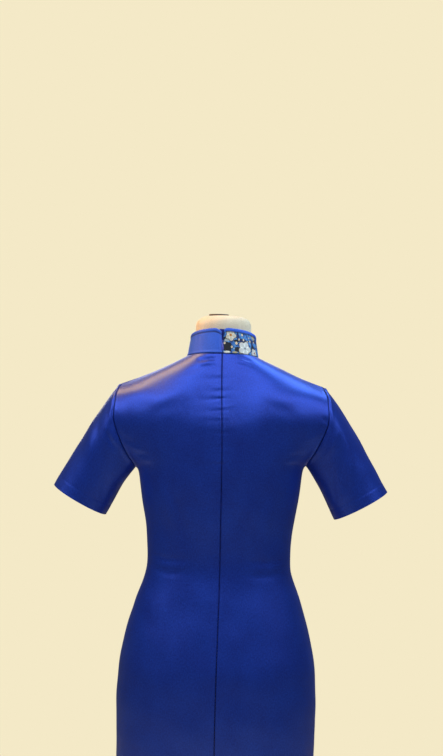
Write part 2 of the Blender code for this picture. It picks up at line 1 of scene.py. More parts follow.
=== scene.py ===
# %% [markdown]
# # A satin cheongsam on a dress form
# A cheongsam is a close-fitting dress with a stand collar. This one is royal-blue satin, cut in two
# back panels, one front panel, two set-in sleeves and a two-part collar, and it closes with a zip at
# the centre back. It is worn by a dress form: a limbless, linen-covered body on a pole.
#
# The imported CAD model gives the frame. Each cloth panel is replaced by a finer sheet on the same
# section table, with its creases placed one by one, and the hard parts get better materials.

# %% Load the frame
import math

import bpy
import numpy as np
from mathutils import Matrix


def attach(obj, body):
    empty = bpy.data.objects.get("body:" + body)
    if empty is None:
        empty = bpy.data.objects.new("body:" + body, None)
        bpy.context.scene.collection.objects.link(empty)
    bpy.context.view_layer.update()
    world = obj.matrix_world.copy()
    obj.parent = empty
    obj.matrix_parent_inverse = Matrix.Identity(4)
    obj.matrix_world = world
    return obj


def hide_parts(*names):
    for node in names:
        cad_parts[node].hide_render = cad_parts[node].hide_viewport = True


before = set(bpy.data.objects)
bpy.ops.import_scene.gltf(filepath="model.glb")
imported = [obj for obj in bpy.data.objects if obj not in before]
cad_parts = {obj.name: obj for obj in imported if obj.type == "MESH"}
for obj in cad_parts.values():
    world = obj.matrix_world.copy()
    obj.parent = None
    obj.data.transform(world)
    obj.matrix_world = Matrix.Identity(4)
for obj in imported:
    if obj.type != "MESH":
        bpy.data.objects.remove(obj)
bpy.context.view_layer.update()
MM = 0.001

# %% [markdown]
# ## The body's section table
# A dressmaker describes a figure by its girths. Each row here is one loop around the body: its
# heights at side, back and front, its half width, its depths and how square its corners are. Below
# the underarm the loops lie flat; above it they rise over the shoulders like a yoke and close in on
# the neck. `v` runs up the side seam and then along the shoulder seam. A smooth curve through each
# column gives every loop in between, so all the panels share one surface and meet at their seams.

# %% Section tables
LEVEL_NAMES = "v side_z back_z front_z half arm back front square".split()


def flat_levels(rows):
    """Loops that lie level: v is the height, and the width at the very side is the half width."""
    return [(z, z, z, z, half, half, back, front, square) for z, half, back, front, square in rows]


# level rows: v half back front square; raised rows: every name in LEVEL_NAMES
DRESS_LEVELS = flat_levels([
    (0.450, 0.1780, 0.0980, 0.1000, 2.35),
    (0.560, 0.1790, 0.1020, 0.1020, 2.35),
    (0.665, 0.1810, 0.1090, 0.1040, 2.35),
    (0.780, 0.1830, 0.1180, 0.1040, 2.30),
    (0.840, 0.1800, 0.1170, 0.1020, 2.30),
    (0.900, 0.1700, 0.1070, 0.0990, 2.25),
    (0.960, 0.1530, 0.0930, 0.0960, 2.20),
    (1.035, 0.1310, 0.0790, 0.0910, 2.20),
    (1.085, 0.1330, 0.0830, 0.0990, 2.20),
    (1.140, 0.1415, 0.0905, 0.1160, 2.20),
    (1.180, 0.1475, 0.0950, 0.1265, 2.20),
    (1.216, 0.1520, 0.0980, 0.1270, 2.20),
]) + [
    (1.237, 1.2390, 1.2365, 1.2340, 0.1570, 0.1870, 0.0992, 0.1245, 2.20),
    (1.2885, 1.3130, 1.2840, 1.2640, 0.1700, 0.2577, 0.1000, 0.1150, 2.20),
    (1.340, 1.3510, 1.3210, 1.2830, 0.1810, 0.2129, 0.0940, 0.1040, 2.15),
    (1.361, 1.3610, 1.3350, 1.2910, 0.1860, 0.1860, 0.0900, 0.0990, 2.15),
    (1.407, 1.3775, 1.3680, 1.3130, 0.1440, 0.1440, 0.0800, 0.0880, 2.10),
    (1.453, 1.3960, 1.3980, 1.3330, 0.1015, 0.1015, 0.0695, 0.0765, 2.05),
    (1.492, 1.4130, 1.4200, 1.3500, 0.0655, 0.0655, 0.0600, 0.0640, 2.00),
]
V_HEM, V_SLIT, V_UNDERARM, V_TIP, V_NECK = 0.450, 0.665, 1.216, 1.361, 1.492
SLIT_SPREAD = math.radians(2.6)
LEVEL_STEP = 1e-3
ARMHOLE_BACK, ARMHOLE_FRONT = math.radians(29.0), math.radians(31.0)


def slopes_through(xs, ys):
    """Slopes for a cubic through points that never overshoots them."""
    steps = np.diff(xs)
    rises = np.diff(ys) / steps
    out = np.empty(len(xs))
    out[0], out[-1] = rises[0], rises[-1]
    for i in range(1, len(xs) - 1):
        if rises[i - 1] * rises[i] <= 0:
            out[i] = 0.0
        else:
            first = 2 * steps[i] + steps[i - 1]
            second = steps[i] + 2 * steps[i - 1]
            out[i] = (first + second) / (first / rises[i - 1] + second / rises[i])
    return out


def level_reader(table, soften):
    """Every column as a function of v, rounded off over about `soften` metres."""
    table = np.array(table)
    xs = table[:, 0]
    fine = np.arange(xs[0], xs[-1] + LEVEL_STEP / 2, LEVEL_STEP)
    columns = {}
    for index, name in enumerate(LEVEL_NAMES[1:], start=1):
        ys, slopes = table[:, index], slopes_through(xs, table[:, index])
        i = np.clip(np.searchsorted(xs, fine) - 1, 0, len(xs) - 2)
        step = xs[i + 1] - xs[i]
        t = np.clip((fine - xs[i]) / step, 0, 1)
        curve = ((1 + 2 * t) * (1 - t) ** 2 * ys[i] + t * (1 - t) ** 2 * step * slopes[i]
                 + t * t * (3 - 2 * t) * ys[i + 1] + t * t * (t - 1) * step * slopes[i + 1])
        if soften:
            half = int(soften * 3 / LEVEL_STEP)
            weights = np.exp(-0.5 * (np.arange(-half, half + 1) * LEVEL_STEP / soften) ** 2)
            weights /= weights.sum()
            before = 2 * curve[0] - curve[half:0:-1]
            after = 2 * curve[-1] - curve[-2:-half - 2:-1]
            curve = np.convolve(np.concatenate([before, curve, after]), weights, "valid")
        columns[name] = curve
    return lambda v: {name: np.interp(v, fine, curve) for name, curve in columns.items()}


def loop_points(level, phi):
    """Points of loops around the body: phi 0 is centre back, +90 degrees the wearer's left."""
    s, c = np.sin(phi), np.cos(phi)
    power = 2.0 / level["square"]
    across = np.sign(s) * np.abs(s) ** power
    away = np.abs(c) ** power
    width = level["half"] + (level["arm"] - level["half"]) * s ** 4
    depth = np.where(c >= 0, level["back"], -level["front"])
    height = np.where(c >= 0, level["back_z"], level["front_z"])
    return np.stack([width * across, depth * away,
                     level["side_z"] + (height - level["side_z"]) * away], axis=-1)


read_dress = level_reader(DRESS_LEVELS, 0.009)


def dress_points(phi, v):
    phi, v = np.broadcast_arrays(phi, v)
    return loop_points(read_dress(v), phi)


def sided(points, side):
    """Points made for the wearer's left stay (side 1) or are mirrored to the right (side -1)."""
    return points * np.array((side, 1, 1))


def unit(vectors):
    return vectors / np.maximum(np.linalg.norm(vectors, axis=-1, keepdims=True), 1e-12)


def normals_of(surface, p, q, dp, dq):
    """Outward normals of a surface by finite differences; p runs around and q runs up."""
    around = surface(p + dp, q) - surface(p - dp, q)
    up = surface(p, q + dq) - surface(p, q - dq)
    return unit(np.cross(up, around))


print("neck girth %.3f m" % np.linalg.norm(
    np.diff(dress_points(np.linspace(0, 2 * np.pi, 200), V_NECK), axis=0), axis=1).sum())

# %% [markdown]
# ## The set-in sleeve
# A set-in sleeve is a tube sewn into an oval hole. Its first ring lies on the armhole's own points,
# its last ring is the hem, and in between each lengthwise line is a cubic that leaves the armhole
# outwards, a little proud of the arm at the top, as an eased sleeve head does, and arrives at the
# hem along the arm.

# %% Sleeve surface
HEM_OUTER = np.array((0.308, -0.006, 1.171))
HEM_INNER = np.array((0.212, -0.006, 1.118))
HEM_HALF_DEPTH = 0.047
HEM_CENTRE = (HEM_OUTER + HEM_INNER) / 2
HEM_HALF_WIDTH = np.linalg.norm(HEM_OUTER - HEM_INNER) / 2
SLEEVE_UP = unit(HEM_OUTER - HEM_INNER)
SLEEVE_AXIS = np.array((SLEEVE_UP[2], 0.0, -SLEEVE_UP[0]))
BACKWARDS = np.array((0.0, 1.0, 0.0))


def armhole_points(alpha):
    """The armhole, from the underarm (0) up the back to the shoulder tip (pi) and down the front."""
    s = np.sin(alpha)
    v = V_UNDERARM + (V_TIP - V_UNDERARM) * (1 - np.cos(alpha)) / 2
    phi = np.pi / 2 - np.where(s >= 0, ARMHOLE_BACK, ARMHOLE_FRONT) * s
    return dress_points(phi, v)


def sleeve_points(alpha, t):
    alpha, t = np.broadcast_arrays(alpha, t)
    start = armhole_points(alpha)
    c, s = np.cos(alpha)[..., None], np.sin(alpha)[..., None]
    end = HEM_CENTRE - SLEEVE_UP * HEM_HALF_WIDTH * c + BACKWARDS * HEM_HALF_DEPTH * s
    leave = unit(SLEEVE_AXIS + (-SLEEVE_UP * c + BACKWARDS * s) * (0.125 - 0.325 * c))
    reach = np.linalg.norm(end - start, axis=-1, keepdims=True)
    first, second = start + leave * reach * (0.22 + 0.08 * c), end - SLEEVE_AXIS * reach * 0.34
    t = t[..., None]
    u = 1 - t
    return u ** 3 * start + 3 * u * u * t * first + 3 * u * t * t * second + t ** 3 * end


# %% [markdown]
# ## Sewing helpers
# Cloth shows how it was made at its seams: the edge sinks into a narrow ditch, the seam allowance
# behind it makes a soft ridge, and the stitching draws in small puckers. These helpers measure how
# far each point lies from a seam or from a crease line, and turn that into a rise or a dip.

# %% Distances, ditches and creases
def distance_to(points, line):
    """Distance from each point to a dense line of points, and the place along that line."""
    flat = points.reshape(-1, points.shape[-1])
    best = np.full(len(flat), 9.0)
    place = np.zeros(len(flat))
    lengths = np.concatenate([[0], np.cumsum(np.linalg.norm(np.diff(line, axis=0), axis=1))])
    for i in range(len(line) - 1):
        start, along = line[i], line[i + 1] - line[i]
        size = max(np.dot(along, along), 1e-12)
        t = np.clip((flat - start) @ along / size, 0, 1)
        gap = np.linalg.norm(flat - start - t[:, None] * along, axis=1)
        nearer = gap < best
        best = np.where(nearer, gap, best)
        place = np.where(nearer, lengths[i] + t * (lengths[i + 1] - lengths[i]), place)
    return best.reshape(points.shape[:-1]), place.reshape(points.shape[:-1])


def bump(distance, width):
    return np.exp(-(distance / width) ** 2)


def smoothstep(low, high, x):
    t = np.clip((x - low) / (high - low), 0, 1)
    return t * t * (3 - 2 * t)


def seam_profile(distance, depth=0.8 * MM, ridge=0.35 * MM, reach=4.5 * MM):
    """A ditch at the seam line and the soft ridge of the seam allowance behind it."""
    return ridge * bump(distance - reach * 0.62, reach * 0.42) - depth * bump(distance, reach * 0.26)


def creased(points, table):
    """Rise of the cloth from listed creases seen from behind or in front.

    Each row: height in mm (minus for a trough), width in mm, then x, z stations in metres.
    """
    seen = points[..., [0, 2]]
    rise = np.zeros(points.shape[:-1])
    for height, width, *stations in table:
        line = np.array(stations).reshape(-1, 2)
        distance, place = distance_to(seen, line)
        whole = np.linalg.norm(np.diff(line, axis=0), axis=1).sum()
        ends = np.sin(np.pi * np.clip(place / whole, 0, 1)) ** 0.7
        shape = bump(distance, width * MM) - 0.35 * bump(distance, 2.3 * width * MM)
        rise += height * MM * ends * shape
    return rise


def uneven(points, size, seed):
    """Slow unevenness of hand-pressed cloth, about -1 to 1, with features of about `size` metres."""
    rng = np.random.default_rng(seed)
    total = np.zeros(points.shape[:-1])
    for _ in range(7):
        direction = unit(rng.normal(size=3))
        total += np.sin(points @ direction * (2 * np.pi / (size * rng.uniform(0.7, 1.5)))
                        + rng.uniform(0, 2 * np.pi))
    return total / 3.2


# %% [markdown]
# ## Making a sheet
# A sheet starts as Blender's own grid. Its vertices are moved onto the cloth's surface, its UV map is
# set in metres so that weave and stitches keep their real size, and a Solidify modifier gives it the
# thickness of satin with its seam allowance. A tube, such as a sleeve, is a grid whose two side
# edges are merged. The bindings and the form close on themselves, so they need no thickness.

# %% Grid to cloth
SATIN_WALL = 1.0 * MM
WELD = 1e-6
cloth_pieces = {}


def grid_piece(name, points, uv):
    """Blender's grid with its vertices moved to points[row][column] and a UV map in metres."""
    rows, columns = points.shape[:2]
    bpy.ops.object.select_all(action="DESELECT")
    bpy.ops.mesh.primitive_grid_add(x_subdivisions=columns - 1, y_subdivisions=rows - 1,
                                    size=1, calc_uvs=True)
    piece = bpy.context.object
    piece.name = piece.data.name = name
    mesh = piece.data
    mesh.vertices.foreach_set("co", points.reshape(-1).astype(np.float32))
    corners = np.empty(len(mesh.loops), dtype=np.int32)
    mesh.loops.foreach_get("vertex_index", corners)
    mesh.uv_layers[0].data.foreach_set("uv", uv.reshape(-1, 2)[corners].reshape(-1).astype(np.float32))
    mesh.update()
    return piece


def read_faces(mesh, what):
    values = np.empty(len(mesh.polygons) * 3)
    mesh.polygons.foreach_get(what, values)
    return values.reshape(-1, 3)


def add_sheet(name, points, uv, wall=SATIN_WALL, tube=False, shade=None):
    """points[row][column] are the outer side's places; shade is painted shade that darkens the colour in
    the seams' ditches.
    """
    sheet = grid_piece(name, points, uv)
    mesh = sheet.data
    # painted shade along the seams is stored on the points for the shader
    if shade is not None:
        mesh.attributes.new("painted_seam_shade", "FLOAT", "POINT").data.foreach_set(
            "value", shade.reshape(-1).astype(np.float32))
    facing, middle = read_faces(mesh, "normal"), read_faces(mesh, "center")
    outward = middle - middle.mean(axis=0) if tube else middle * np.array((1, 1, 0))
    bpy.ops.object.mode_set(mode="EDIT")
    bpy.ops.mesh.select_all(action="SELECT")
    if tube:
        bpy.ops.mesh.remove_doubles(threshold=WELD)
    if (facing * outward).sum() < 0:
        bpy.ops.mesh.flip_normals()
    bpy.ops.object.mode_set(mode="OBJECT")
    thicken = sheet.modifiers.new("thickness", "SOLIDIFY")
    thicken.thickness, thicken.offset, thicken.use_even_offset = wall, -1.0, False
    bpy.ops.object.modifier_apply(modifier=thicken.name)
    bpy.ops.object.shade_smooth_by_angle(angle=math.radians(50))
    cloth_pieces[name] = sheet
    return sheet


def add_closed(name, points, uv, smooth, capped=False):
    """A surface that closes on itself; `capped` puts a face on each end that stays open."""
    piece = grid_piece(name, points, uv)
    bpy.ops.object.mode_set(mode="EDIT")
    bpy.ops.mesh.select_all(action="SELECT")
    bpy.ops.mesh.remove_doubles(threshold=WELD)
    if capped:
        bpy.ops.mesh.select_all(action="DESELECT")
        bpy.ops.mesh.select_non_manifold(extend=False)
        bpy.ops.mesh.edge_face_add()
        bpy.ops.mesh.select_all(action="SELECT")
    bpy.ops.mesh.normals_make_consistent(inside=False)
    bpy.ops.object.mode_set(mode="OBJECT")
    bpy.ops.object.shade_smooth_by_angle(angle=math.radians(smooth))
    return piece


def eased(count, pull):
    """Fractions from 0 to 1 that crowd towards both ends as pull nears 1."""
    s = np.linspace(0, 1, count)
    return s - pull * np.sin(2 * np.pi * s) / (2 * np.pi)


# %% [markdown]
# ## Back and front panels
# Each panel's rows run from the centre line to its edge: the side seam, then the armhole, then the
# shoulder seam. The creases are rows of a table, one for each fold, with stations read off the worn
# dress: drag lines that come from the neck, small V folds beside the armhole, and the puckers that
# the zip draws into the centre-back seam.

# %% Panel rows and crease tables
PANEL_COLUMNS = 74
SKIRT_ROWS, ARMHOLE_ROWS, YOKE_ROWS = 150, 56, 40
HALF_WALL = 0.5 * MM

# height z, length on the wearer's left, length on the right, depth: mm but for z
BACK_PUCKERS = [
    (1.3925, 9, 5, 0.30), (1.3750, 21, 9, 1.05), (1.3530, 15, 13, 0.85), (1.3385, 26, 8, 0.85),
    (1.3180, 16, 15, 0.70), (1.3080, 7, 9, 0.30), (1.3000, 24, 7, 0.75), (1.2790, 17, 16, 0.80),
    (1.2650, 9, 7, 0.30), (1.2540, 19, 12, 0.60), (1.2400, 8, 14, 0.45),
    (1.2230, 21, 11, 0.60), (1.2060, 9, 15, 0.40), (1.1880, 18, 10, 0.60), (1.1690, 14, 13, 0.45),
    (1.1500, 20, 12, 0.55), (1.1300, 9, 14, 0.45), (1.1080, 19, 11, 0.55), (1.0860, 14, 16, 0.50),
    (1.0620, 22, 13, 0.60), (1.0400, 12, 15, 0.60), (1.0180, 20, 14, 0.60), (0.9950, 14, 12, 0.45),
    (0.9700, 17, 10, 0.40), (0.9430, 12, 13, 0.35), (0.9100, 14, 9, 0.25), (0.8700, 11, 10, 0.20),
]
BACK_CREASES = [
    # drag lines from the neck
    (-2.2, 3.4, 0.0100, 1.4095, 0.0280, 1.4085, 0.0470, 1.4050),
    (1.9, 3.2, 0.0100, 1.4040, 0.0260, 1.4020, 0.0420, 1.3975),
    (-0.9, 4.0, 0.0300, 1.3960, 0.0480, 1.3900, 0.0660, 1.3820),
    (-2.0, 2.4, -0.0290, 1.4105, -0.0400, 1.4090, -0.0520, 1.4055),
    (1.0, 2.6, -0.0280, 1.4075, -0.0390, 1.4060, -0.0490, 1.4030),
    (-1.7, 2.4, -0.0230, 1.4055, -0.0340, 1.4040, -0.0450, 1.4005),
    (0.9, 4.5, -0.0300, 1.3980, -0.0460, 1.3940, -0.0600, 1.3870),
    # the shoulder blades
    (3.4, 30, 0.070, 1.322, 0.110, 1.316, 0.165, 1.304),
    (2.6, 30, -0.070, 1.324, -0.110, 1.318, -0.165, 1.306),
    # soft folds across the shoulder blades
    (1.2, 15, 0.055, 1.352, 0.090, 1.342, 0.125, 1.322),
    (-1.0, 11, 0.070, 1.330, 0.105, 1.318, 0.140, 1.292),
    (1.0, 14, -0.055, 1.354, -0.095, 1.343, -0.130, 1.325),
    (-0.9, 10, -0.080, 1.332, -0.110, 1.320, -0.145, 1.298),
    # V folds beside the armholes
    (-1.3, 3.6, -0.182, 1.306, -0.190, 1.301, -0.194, 1.298),
    (1.0, 3.6, -0.178, 1.300, -0.187, 1.293, -0.193, 1.288),
    (-1.2, 3.4, -0.185, 1.288, -0.189, 1.280, -0.192, 1.272),
    (1.1, 5.0, -0.150, 1.262, -0.168, 1.270, -0.183, 1.282),
    (-1.0, 4.5, 0.150, 1.254, 0.168, 1.262, 0.186, 1.276),
    (1.1, 5.0, 0.140, 1.246, 0.158, 1.252, 0.176, 1.262),
    (-1.1, 4.2, 0.128, 1.238, 0.142, 1.240, 0.156, 1.242),
    (0.9, 4.5, 0.120, 1.228, 0.136, 1.229, 0.150, 1.230),
    (-1.0, 4.5, -0.124, 1.236, -0.140, 1.238, -0.154, 1.240),
    (0.9, 4.5, -0.116, 1.226, -0.132, 1.226, -0.148, 1.226),
    # long soft folds into the waist
    (1.4, 12, 0.120, 1.215, 0.098, 1.165, 0.080, 1.110, 0.074, 1.060),
    (-1.2, 10, 0.098, 1.200, 0.078, 1.150, 0.062, 1.100, 0.056, 1.060),
    (1.3, 12, -0.118, 1.210, -0.096, 1.160, -0.082, 1.105, -0.078, 1.055),
    (-1.1, 10, -0.094, 1.190, -0.076, 1.145, -0.062, 1.095, -0.058, 1.055),
    (-1.3, 5.0, 0.126, 1.052, 0.090, 1.046, 0.050, 1.050),
    (1.2, 5.5, 0.124, 1.040, 0.084, 1.034, 0.040, 1.038),
    (-1.2, 5.0, 0.120, 1.026, 0.088, 1.022, 0.056, 1.026),
    (-1.3, 5.0, -0.126, 1.050, -0.088, 1.045, -0.044, 1.050),
    (1.1, 5.5, -0.122, 1.037, -0.090, 1.033, -0.052, 1.036),
    (-1.1, 5.0, -0.122, 1.023, -0.080, 1.019, -0.038, 1.024),
    # the skirt hangs in long shallow folds from the seat
    (1.6, 20, 0.110, 0.800, 0.112, 0.680, 0.118, 0.540, 0.120, 0.455),
    (-1.4, 16, 0.070, 0.780, 0.068, 0.660, 0.070, 0.540, 0.072, 0.455),
    (1.5, 19, -0.106, 0.805, -0.112, 0.690, -0.114, 0.550, -0.118, 0.455),
    (-1.3, 15, -0.066, 0.760, -0.064, 0.650, -0.068, 0.530, -0.070, 0.455),
]
FRONT_CREASES = [
    (1.0, 7, 0.030, 1.338, 0.060, 1.330, 0.092, 1.318),
    (-0.8, 6, 0.040, 1.326, 0.070, 1.316, 0.100, 1.300),
    (1.0, 7, -0.028, 1.338, -0.056, 1.331, -0.088, 1.320),
    (-0.8, 6, -0.042, 1.325, -0.072, 1.314, -0.102, 1.299),
    (1.2, 7, 0.186, 1.285, 0.160, 1.262, 0.132, 1.240, 0.105, 1.222),
    (-1.1, 6, 0.178, 1.262, 0.154, 1.243, 0.128, 1.226),
    (1.2, 7, -0.187, 1.288, -0.160, 1.264, -0.130, 1.243, -0.104, 1.226),
    (-1.1, 6, -0.178, 1.264, -0.152, 1.246, -0.126, 1.230),
    (-1.2, 6, 0.140, 1.205, 0.118, 1.190, 0.096, 1.182),
    (-1.2, 6, -0.140, 1.206, -0.116, 1.192, -0.092, 1.183),
    (1.3, 8, 0.078, 1.170, 0.072, 1.120, 0.066, 1.070, 0.066, 1.030),
    (1.3, 8, -0.076, 1.172, -0.070, 1.118, -0.066, 1.068, -0.064, 1.030),
    (-1.3, 5.5, 0.124, 1.056, 0.086, 1.049, 0.044, 1.052),
    (1.2, 5.5, 0.122, 1.041, 0.080, 1.036, 0.030, 1.040),
    (-1.2, 5.5, 0.122, 1.025, 0.090, 1.021, 0.060, 1.023),
    (-1.3, 5.5, -0.124, 1.054, -0.084, 1.048, -0.040, 1.052),
    (1.1, 5.5, -0.122, 1.039, -0.086, 1.034, -0.046, 1.037),
    (-1.1, 5.5, -0.120, 1.023, -0.078, 1.018, -0.034, 1.022),
    (1.5, 20, 0.104, 0.860, 0.110, 0.720, 0.112, 0.560, 0.116, 0.455),
    (-1.3, 16, 0.058, 0.820, 0.056, 0.680, 0.058, 0.560, 0.060, 0.455),
    (1.4, 20, -0.100, 0.850, -0.108, 0.710, -0.110, 0.560, -0.112, 0.455),
    (-1.2, 16, -0.052, 0.800, -0.052, 0.660, -0.056, 0.540, -0.058, 0.455),
]


def panel_rows():
    """v and armhole angle (or nothing) of each row, from the hem to the neck."""
    skirt = V_HEM + (V_UNDERARM - V_HEM) * np.linspace(0, 1, SKIRT_ROWS)[:-1]
    angle = np.linspace(0, np.pi, ARMHOLE_ROWS)
    arm = V_UNDERARM + (V_TIP - V_UNDERARM) * (1 - np.cos(angle)) / 2
    yoke = V_TIP + (V_NECK - V_TIP) * eased(YOKE_ROWS, 0.6)[1:]
    v = np.concatenate([skirt, arm, yoke])
    opening = np.concatenate([0 * skirt, np.sin(angle), 0 * yoke])
    slit = SLIT_SPREAD * np.clip((V_SLIT - v) / (V_SLIT - V_HEM), 0, 1)
    return v, opening, slit


def panel_grid(half_angle, columns):
    """phi and v over one half panel; column 0 is the centre line, the last its outer edge."""
    v, opening, slit = panel_rows()
    edge = np.pi / 2 - half_angle * opening - slit
    return edge[:, None] * columns[None, :], np.repeat(v[:, None], len(columns), axis=1)


dense = np.linspace(0, 1, 160)
armhole_line = armhole_points(np.linspace(0, 2 * np.pi, 160))
side_line = dress_points(np.pi / 2, V_HEM + (V_UNDERARM - V_HEM) * dense)
shoulder_line = dress_points(np.pi / 2, V_TIP + (V_NECK - V_TIP) * dense)
neck_line = dress_points(np.linspace(0, np.pi, 160), V_NECK)


def seams_on(points):
    """Dips and ridges of the armhole, side, shoulder and neck seams, and the painted shade in each seam's
    ditch.
    """
    armhole, _ = distance_to(points, armhole_line)
    low = smoothstep(1.300, 1.250, points[..., 2])
    rise = (seam_profile(armhole, 0.9 * MM, 0.25 * MM)
            + 1.1 * MM * low * bump(armhole - 3.0 * MM, 1.5 * MM))
    side, place = distance_to(points, side_line)
    slit = smoothstep(V_SLIT - V_HEM + 0.03, V_SLIT - V_HEM, place)
    shoulder, _ = distance_to(points, shoulder_line)
    neckline, _ = distance_to(points, neck_line)
    rise += seam_profile(side) * (1 - slit)
    rise += seam_profile(shoulder, 0.7 * MM, 0.30 * MM) + seam_profile(neckline, 0.9 * MM, 0.1 * MM)
    hem = points[..., 2] - V_HEM
    rise += 0.25 * MM * smoothstep(26 * MM, 24 * MM, hem) - 0.35 * MM * bump(hem - 25 * MM, 1.6 * MM)
    # painted shade: the colour darkens along each seam's ditch
    shade = np.maximum.reduce([bump(armhole, 0.9 * MM), bump(side, 0.8 * MM) * (1 - slit),
                               bump(shoulder, 0.8 * MM), bump(neckline, 1.3 * MM)])
    return rise, shade


def girth_uv(points, phi):
    """u is the distance around from the centre line and v the height, both in metres."""
    steps = np.linalg.norm(np.diff(points, axis=1), axis=2)
    around = np.concatenate([np.zeros((len(points), 1)), np.cumsum(steps, axis=1)], axis=1)
    return np.stack([around, points[..., 2] + 0 * phi], axis=-1)


# %% Back panels
def askew(points):
    """The dress hangs a little lower at the wearer's left underarm than at the right."""
    x, z = points[..., 0], points[..., 2]
    height = bump(z - 1.225, 0.060)
    drop = (-6.0 * bump(x - 0.160, 0.060) + 2.5 * bump(x + 0.160, 0.060)) * MM * height
    return points + drop[..., None] * np.array((0.0, 0.0, 1.0))


def settled(points):
    """The worn back sits slightly askew, so its seam drifts to the wearer's right below the neck."""
    x, z = points[..., 0], points[..., 2]
    drift = -4.0 * MM * smoothstep(1.41, 1.22, z) * (0.35 + 0.65 * smoothstep(0.75, 1.05, z))
    centred = np.clip(1 - np.abs(x) / 0.11, 0, 1) ** 1.5
    return askew(points) + (drift * centred)[..., None] * np.array((1.0, 0.0, 0.0))


def back_panel(side):
    """side is 1 for the wearer's left and -1 for the right."""
    phi, v = panel_grid(ARMHOLE_BACK, eased(PANEL_COLUMNS, 0.82))
    points = dress_points(phi, v)
    out = normals_of(dress_points, phi, v, 1e-3, 1e-3)
    rise, shade = seams_on(points)
    centre = np.abs(points[..., 0])
    rise += HALF_WALL + seam_profile(centre, 1.5 * MM, 0.25 * MM, 4.6 * MM)
    # painted shade in the centre-back seam's ditch
    shade = np.maximum(shade, 0.9 * bump(centre, 0.75 * MM))
    worn = sided(points, side)
    for height, left, right, depth in BACK_PUCKERS:
        length = (left if side > 0 else right) * MM
        tilt = (0.10 if side > 0 else -0.08) * centre
        opening = 1.9 * MM + 0.10 * centre
        across = bump(points[..., 2] - height + tilt, opening)
        beside = bump(points[..., 2] - height + tilt - 2.1 * opening, 1.3 * opening)
        rise += (0.65 * beside - across) * 1.2 * depth * MM * np.exp(-centre / length * 1.3)
    rise += creased(worn, BACK_CREASES)
    rise += 0.55 * MM * uneven(worn, 0.075, 4) * smoothstep(0, 0.03, centre)
    points = points + out * rise[..., None]
    points[:, 0, 0] = np.maximum(points[:, 0, 0], 0.03 * MM)
    uv = girth_uv(points, phi)
    return add_sheet("back_left_cloth" if side > 0 else "back_right_cloth",
                     settled(sided(points, side)), uv * np.array((side, 1)), shade=shade)


back_left = back_panel(1)
back_right = back_panel(-1)

# %% Front panel
def front_panel():
    phi, v = panel_grid(ARMHOLE_FRONT, eased(PANEL_COLUMNS, 0.5))
    halves = []
    for side in (1, -1):
        turn = np.pi - phi
        points = dress_points(turn, v)
        out = normals_of(dress_points, turn, v, 1e-3, 1e-3)
        worn = sided(points, side)
        rise, shade = seams_on(points)
        rise += HALF_WALL + creased(worn, FRONT_CREASES) + 0.55 * MM * uneven(worn, 0.080, 9)
        uv = girth_uv(points, phi)
        halves.append((sided(points + out * rise[..., None], side),
                       uv * np.array((side, 1)), shade))
    points, uv, shade = (np.concatenate([right[:, :0:-1], left], axis=1) for left, right in zip(*halves))
    return add_sheet("front_cloth", askew(points), uv, shade=shade)


front = front_panel()

# %% [markdown]
# ## Sleeves
# The sleeve head is eased in, so it stands a little proud of the seam all round the top. Below, the
# satin falls in a few long soft folds, and it is turned up at the hem.

# %% Sleeve creases and sheets
SLEEVE_AROUND, SLEEVE_ROWS = 150, 96
SLEEVE_ROUND = 0.055
SLEEVE_BACK_CREASES = {1: [
    (-1.5, 8.0, 0.2200, 1.318, 0.2235, 1.290, 0.2240, 1.255, 0.2250, 1.215, 0.2300, 1.170),
    (1.2, 9.0, 0.2320, 1.312, 0.2350, 1.285, 0.2370, 1.255, 0.2400, 1.205),
    (-1.6, 5.0, 0.2096, 1.277, 0.2010, 1.262, 0.1905, 1.246),
    (1.3, 6.0, 0.2040, 1.286, 0.1960, 1.268, 0.1850, 1.252),
    (-1.2, 8.0, 0.2530, 1.270, 0.2620, 1.230, 0.2740, 1.175),
    (-1.3, 6.0, 0.1980, 1.232, 0.2060, 1.200, 0.2160, 1.150),
], -1: [
    (1.7, 7.5, -0.2008, 1.3214, -0.2145, 1.2915, -0.2254, 1.2679, -0.2363, 1.2370, -0.2381, 1.2052),
    (1.4, 6.0, -0.2090, 1.2824, -0.2000, 1.2515, -0.1890, 1.2315),
    (-1.8, 7.0, -0.2150, 1.280, -0.2170, 1.262, -0.2190, 1.240, -0.2200, 1.215, -0.2260, 1.170),
    (-1.0, 8.0, -0.2350, 1.300, -0.2440, 1.280, -0.2540, 1.250, -0.2620, 1.215),
    (-1.2, 6.0, -0.1960, 1.230, -0.2040, 1.200, -0.2140, 1.150),
]}
SLEEVE_FRONT_CREASES = [
    (-1.6, 8.0, 0.2160, 1.312, 0.2190, 1.280, 0.2210, 1.240, 0.2260, 1.190),
    (1.3, 8.0, 0.2060, 1.300, 0.2070, 1.272, 0.2090, 1.235),
    (-1.6, 5.5, 0.2060, 1.268, 0.1960, 1.250, 0.1840, 1.238),
    (1.1, 9.0, 0.2330, 1.296, 0.2400, 1.250, 0.2500, 1.190),
    (-1.1, 7.0, 0.2490, 1.262, 0.2600, 1.215, 0.2720, 1.165),
]


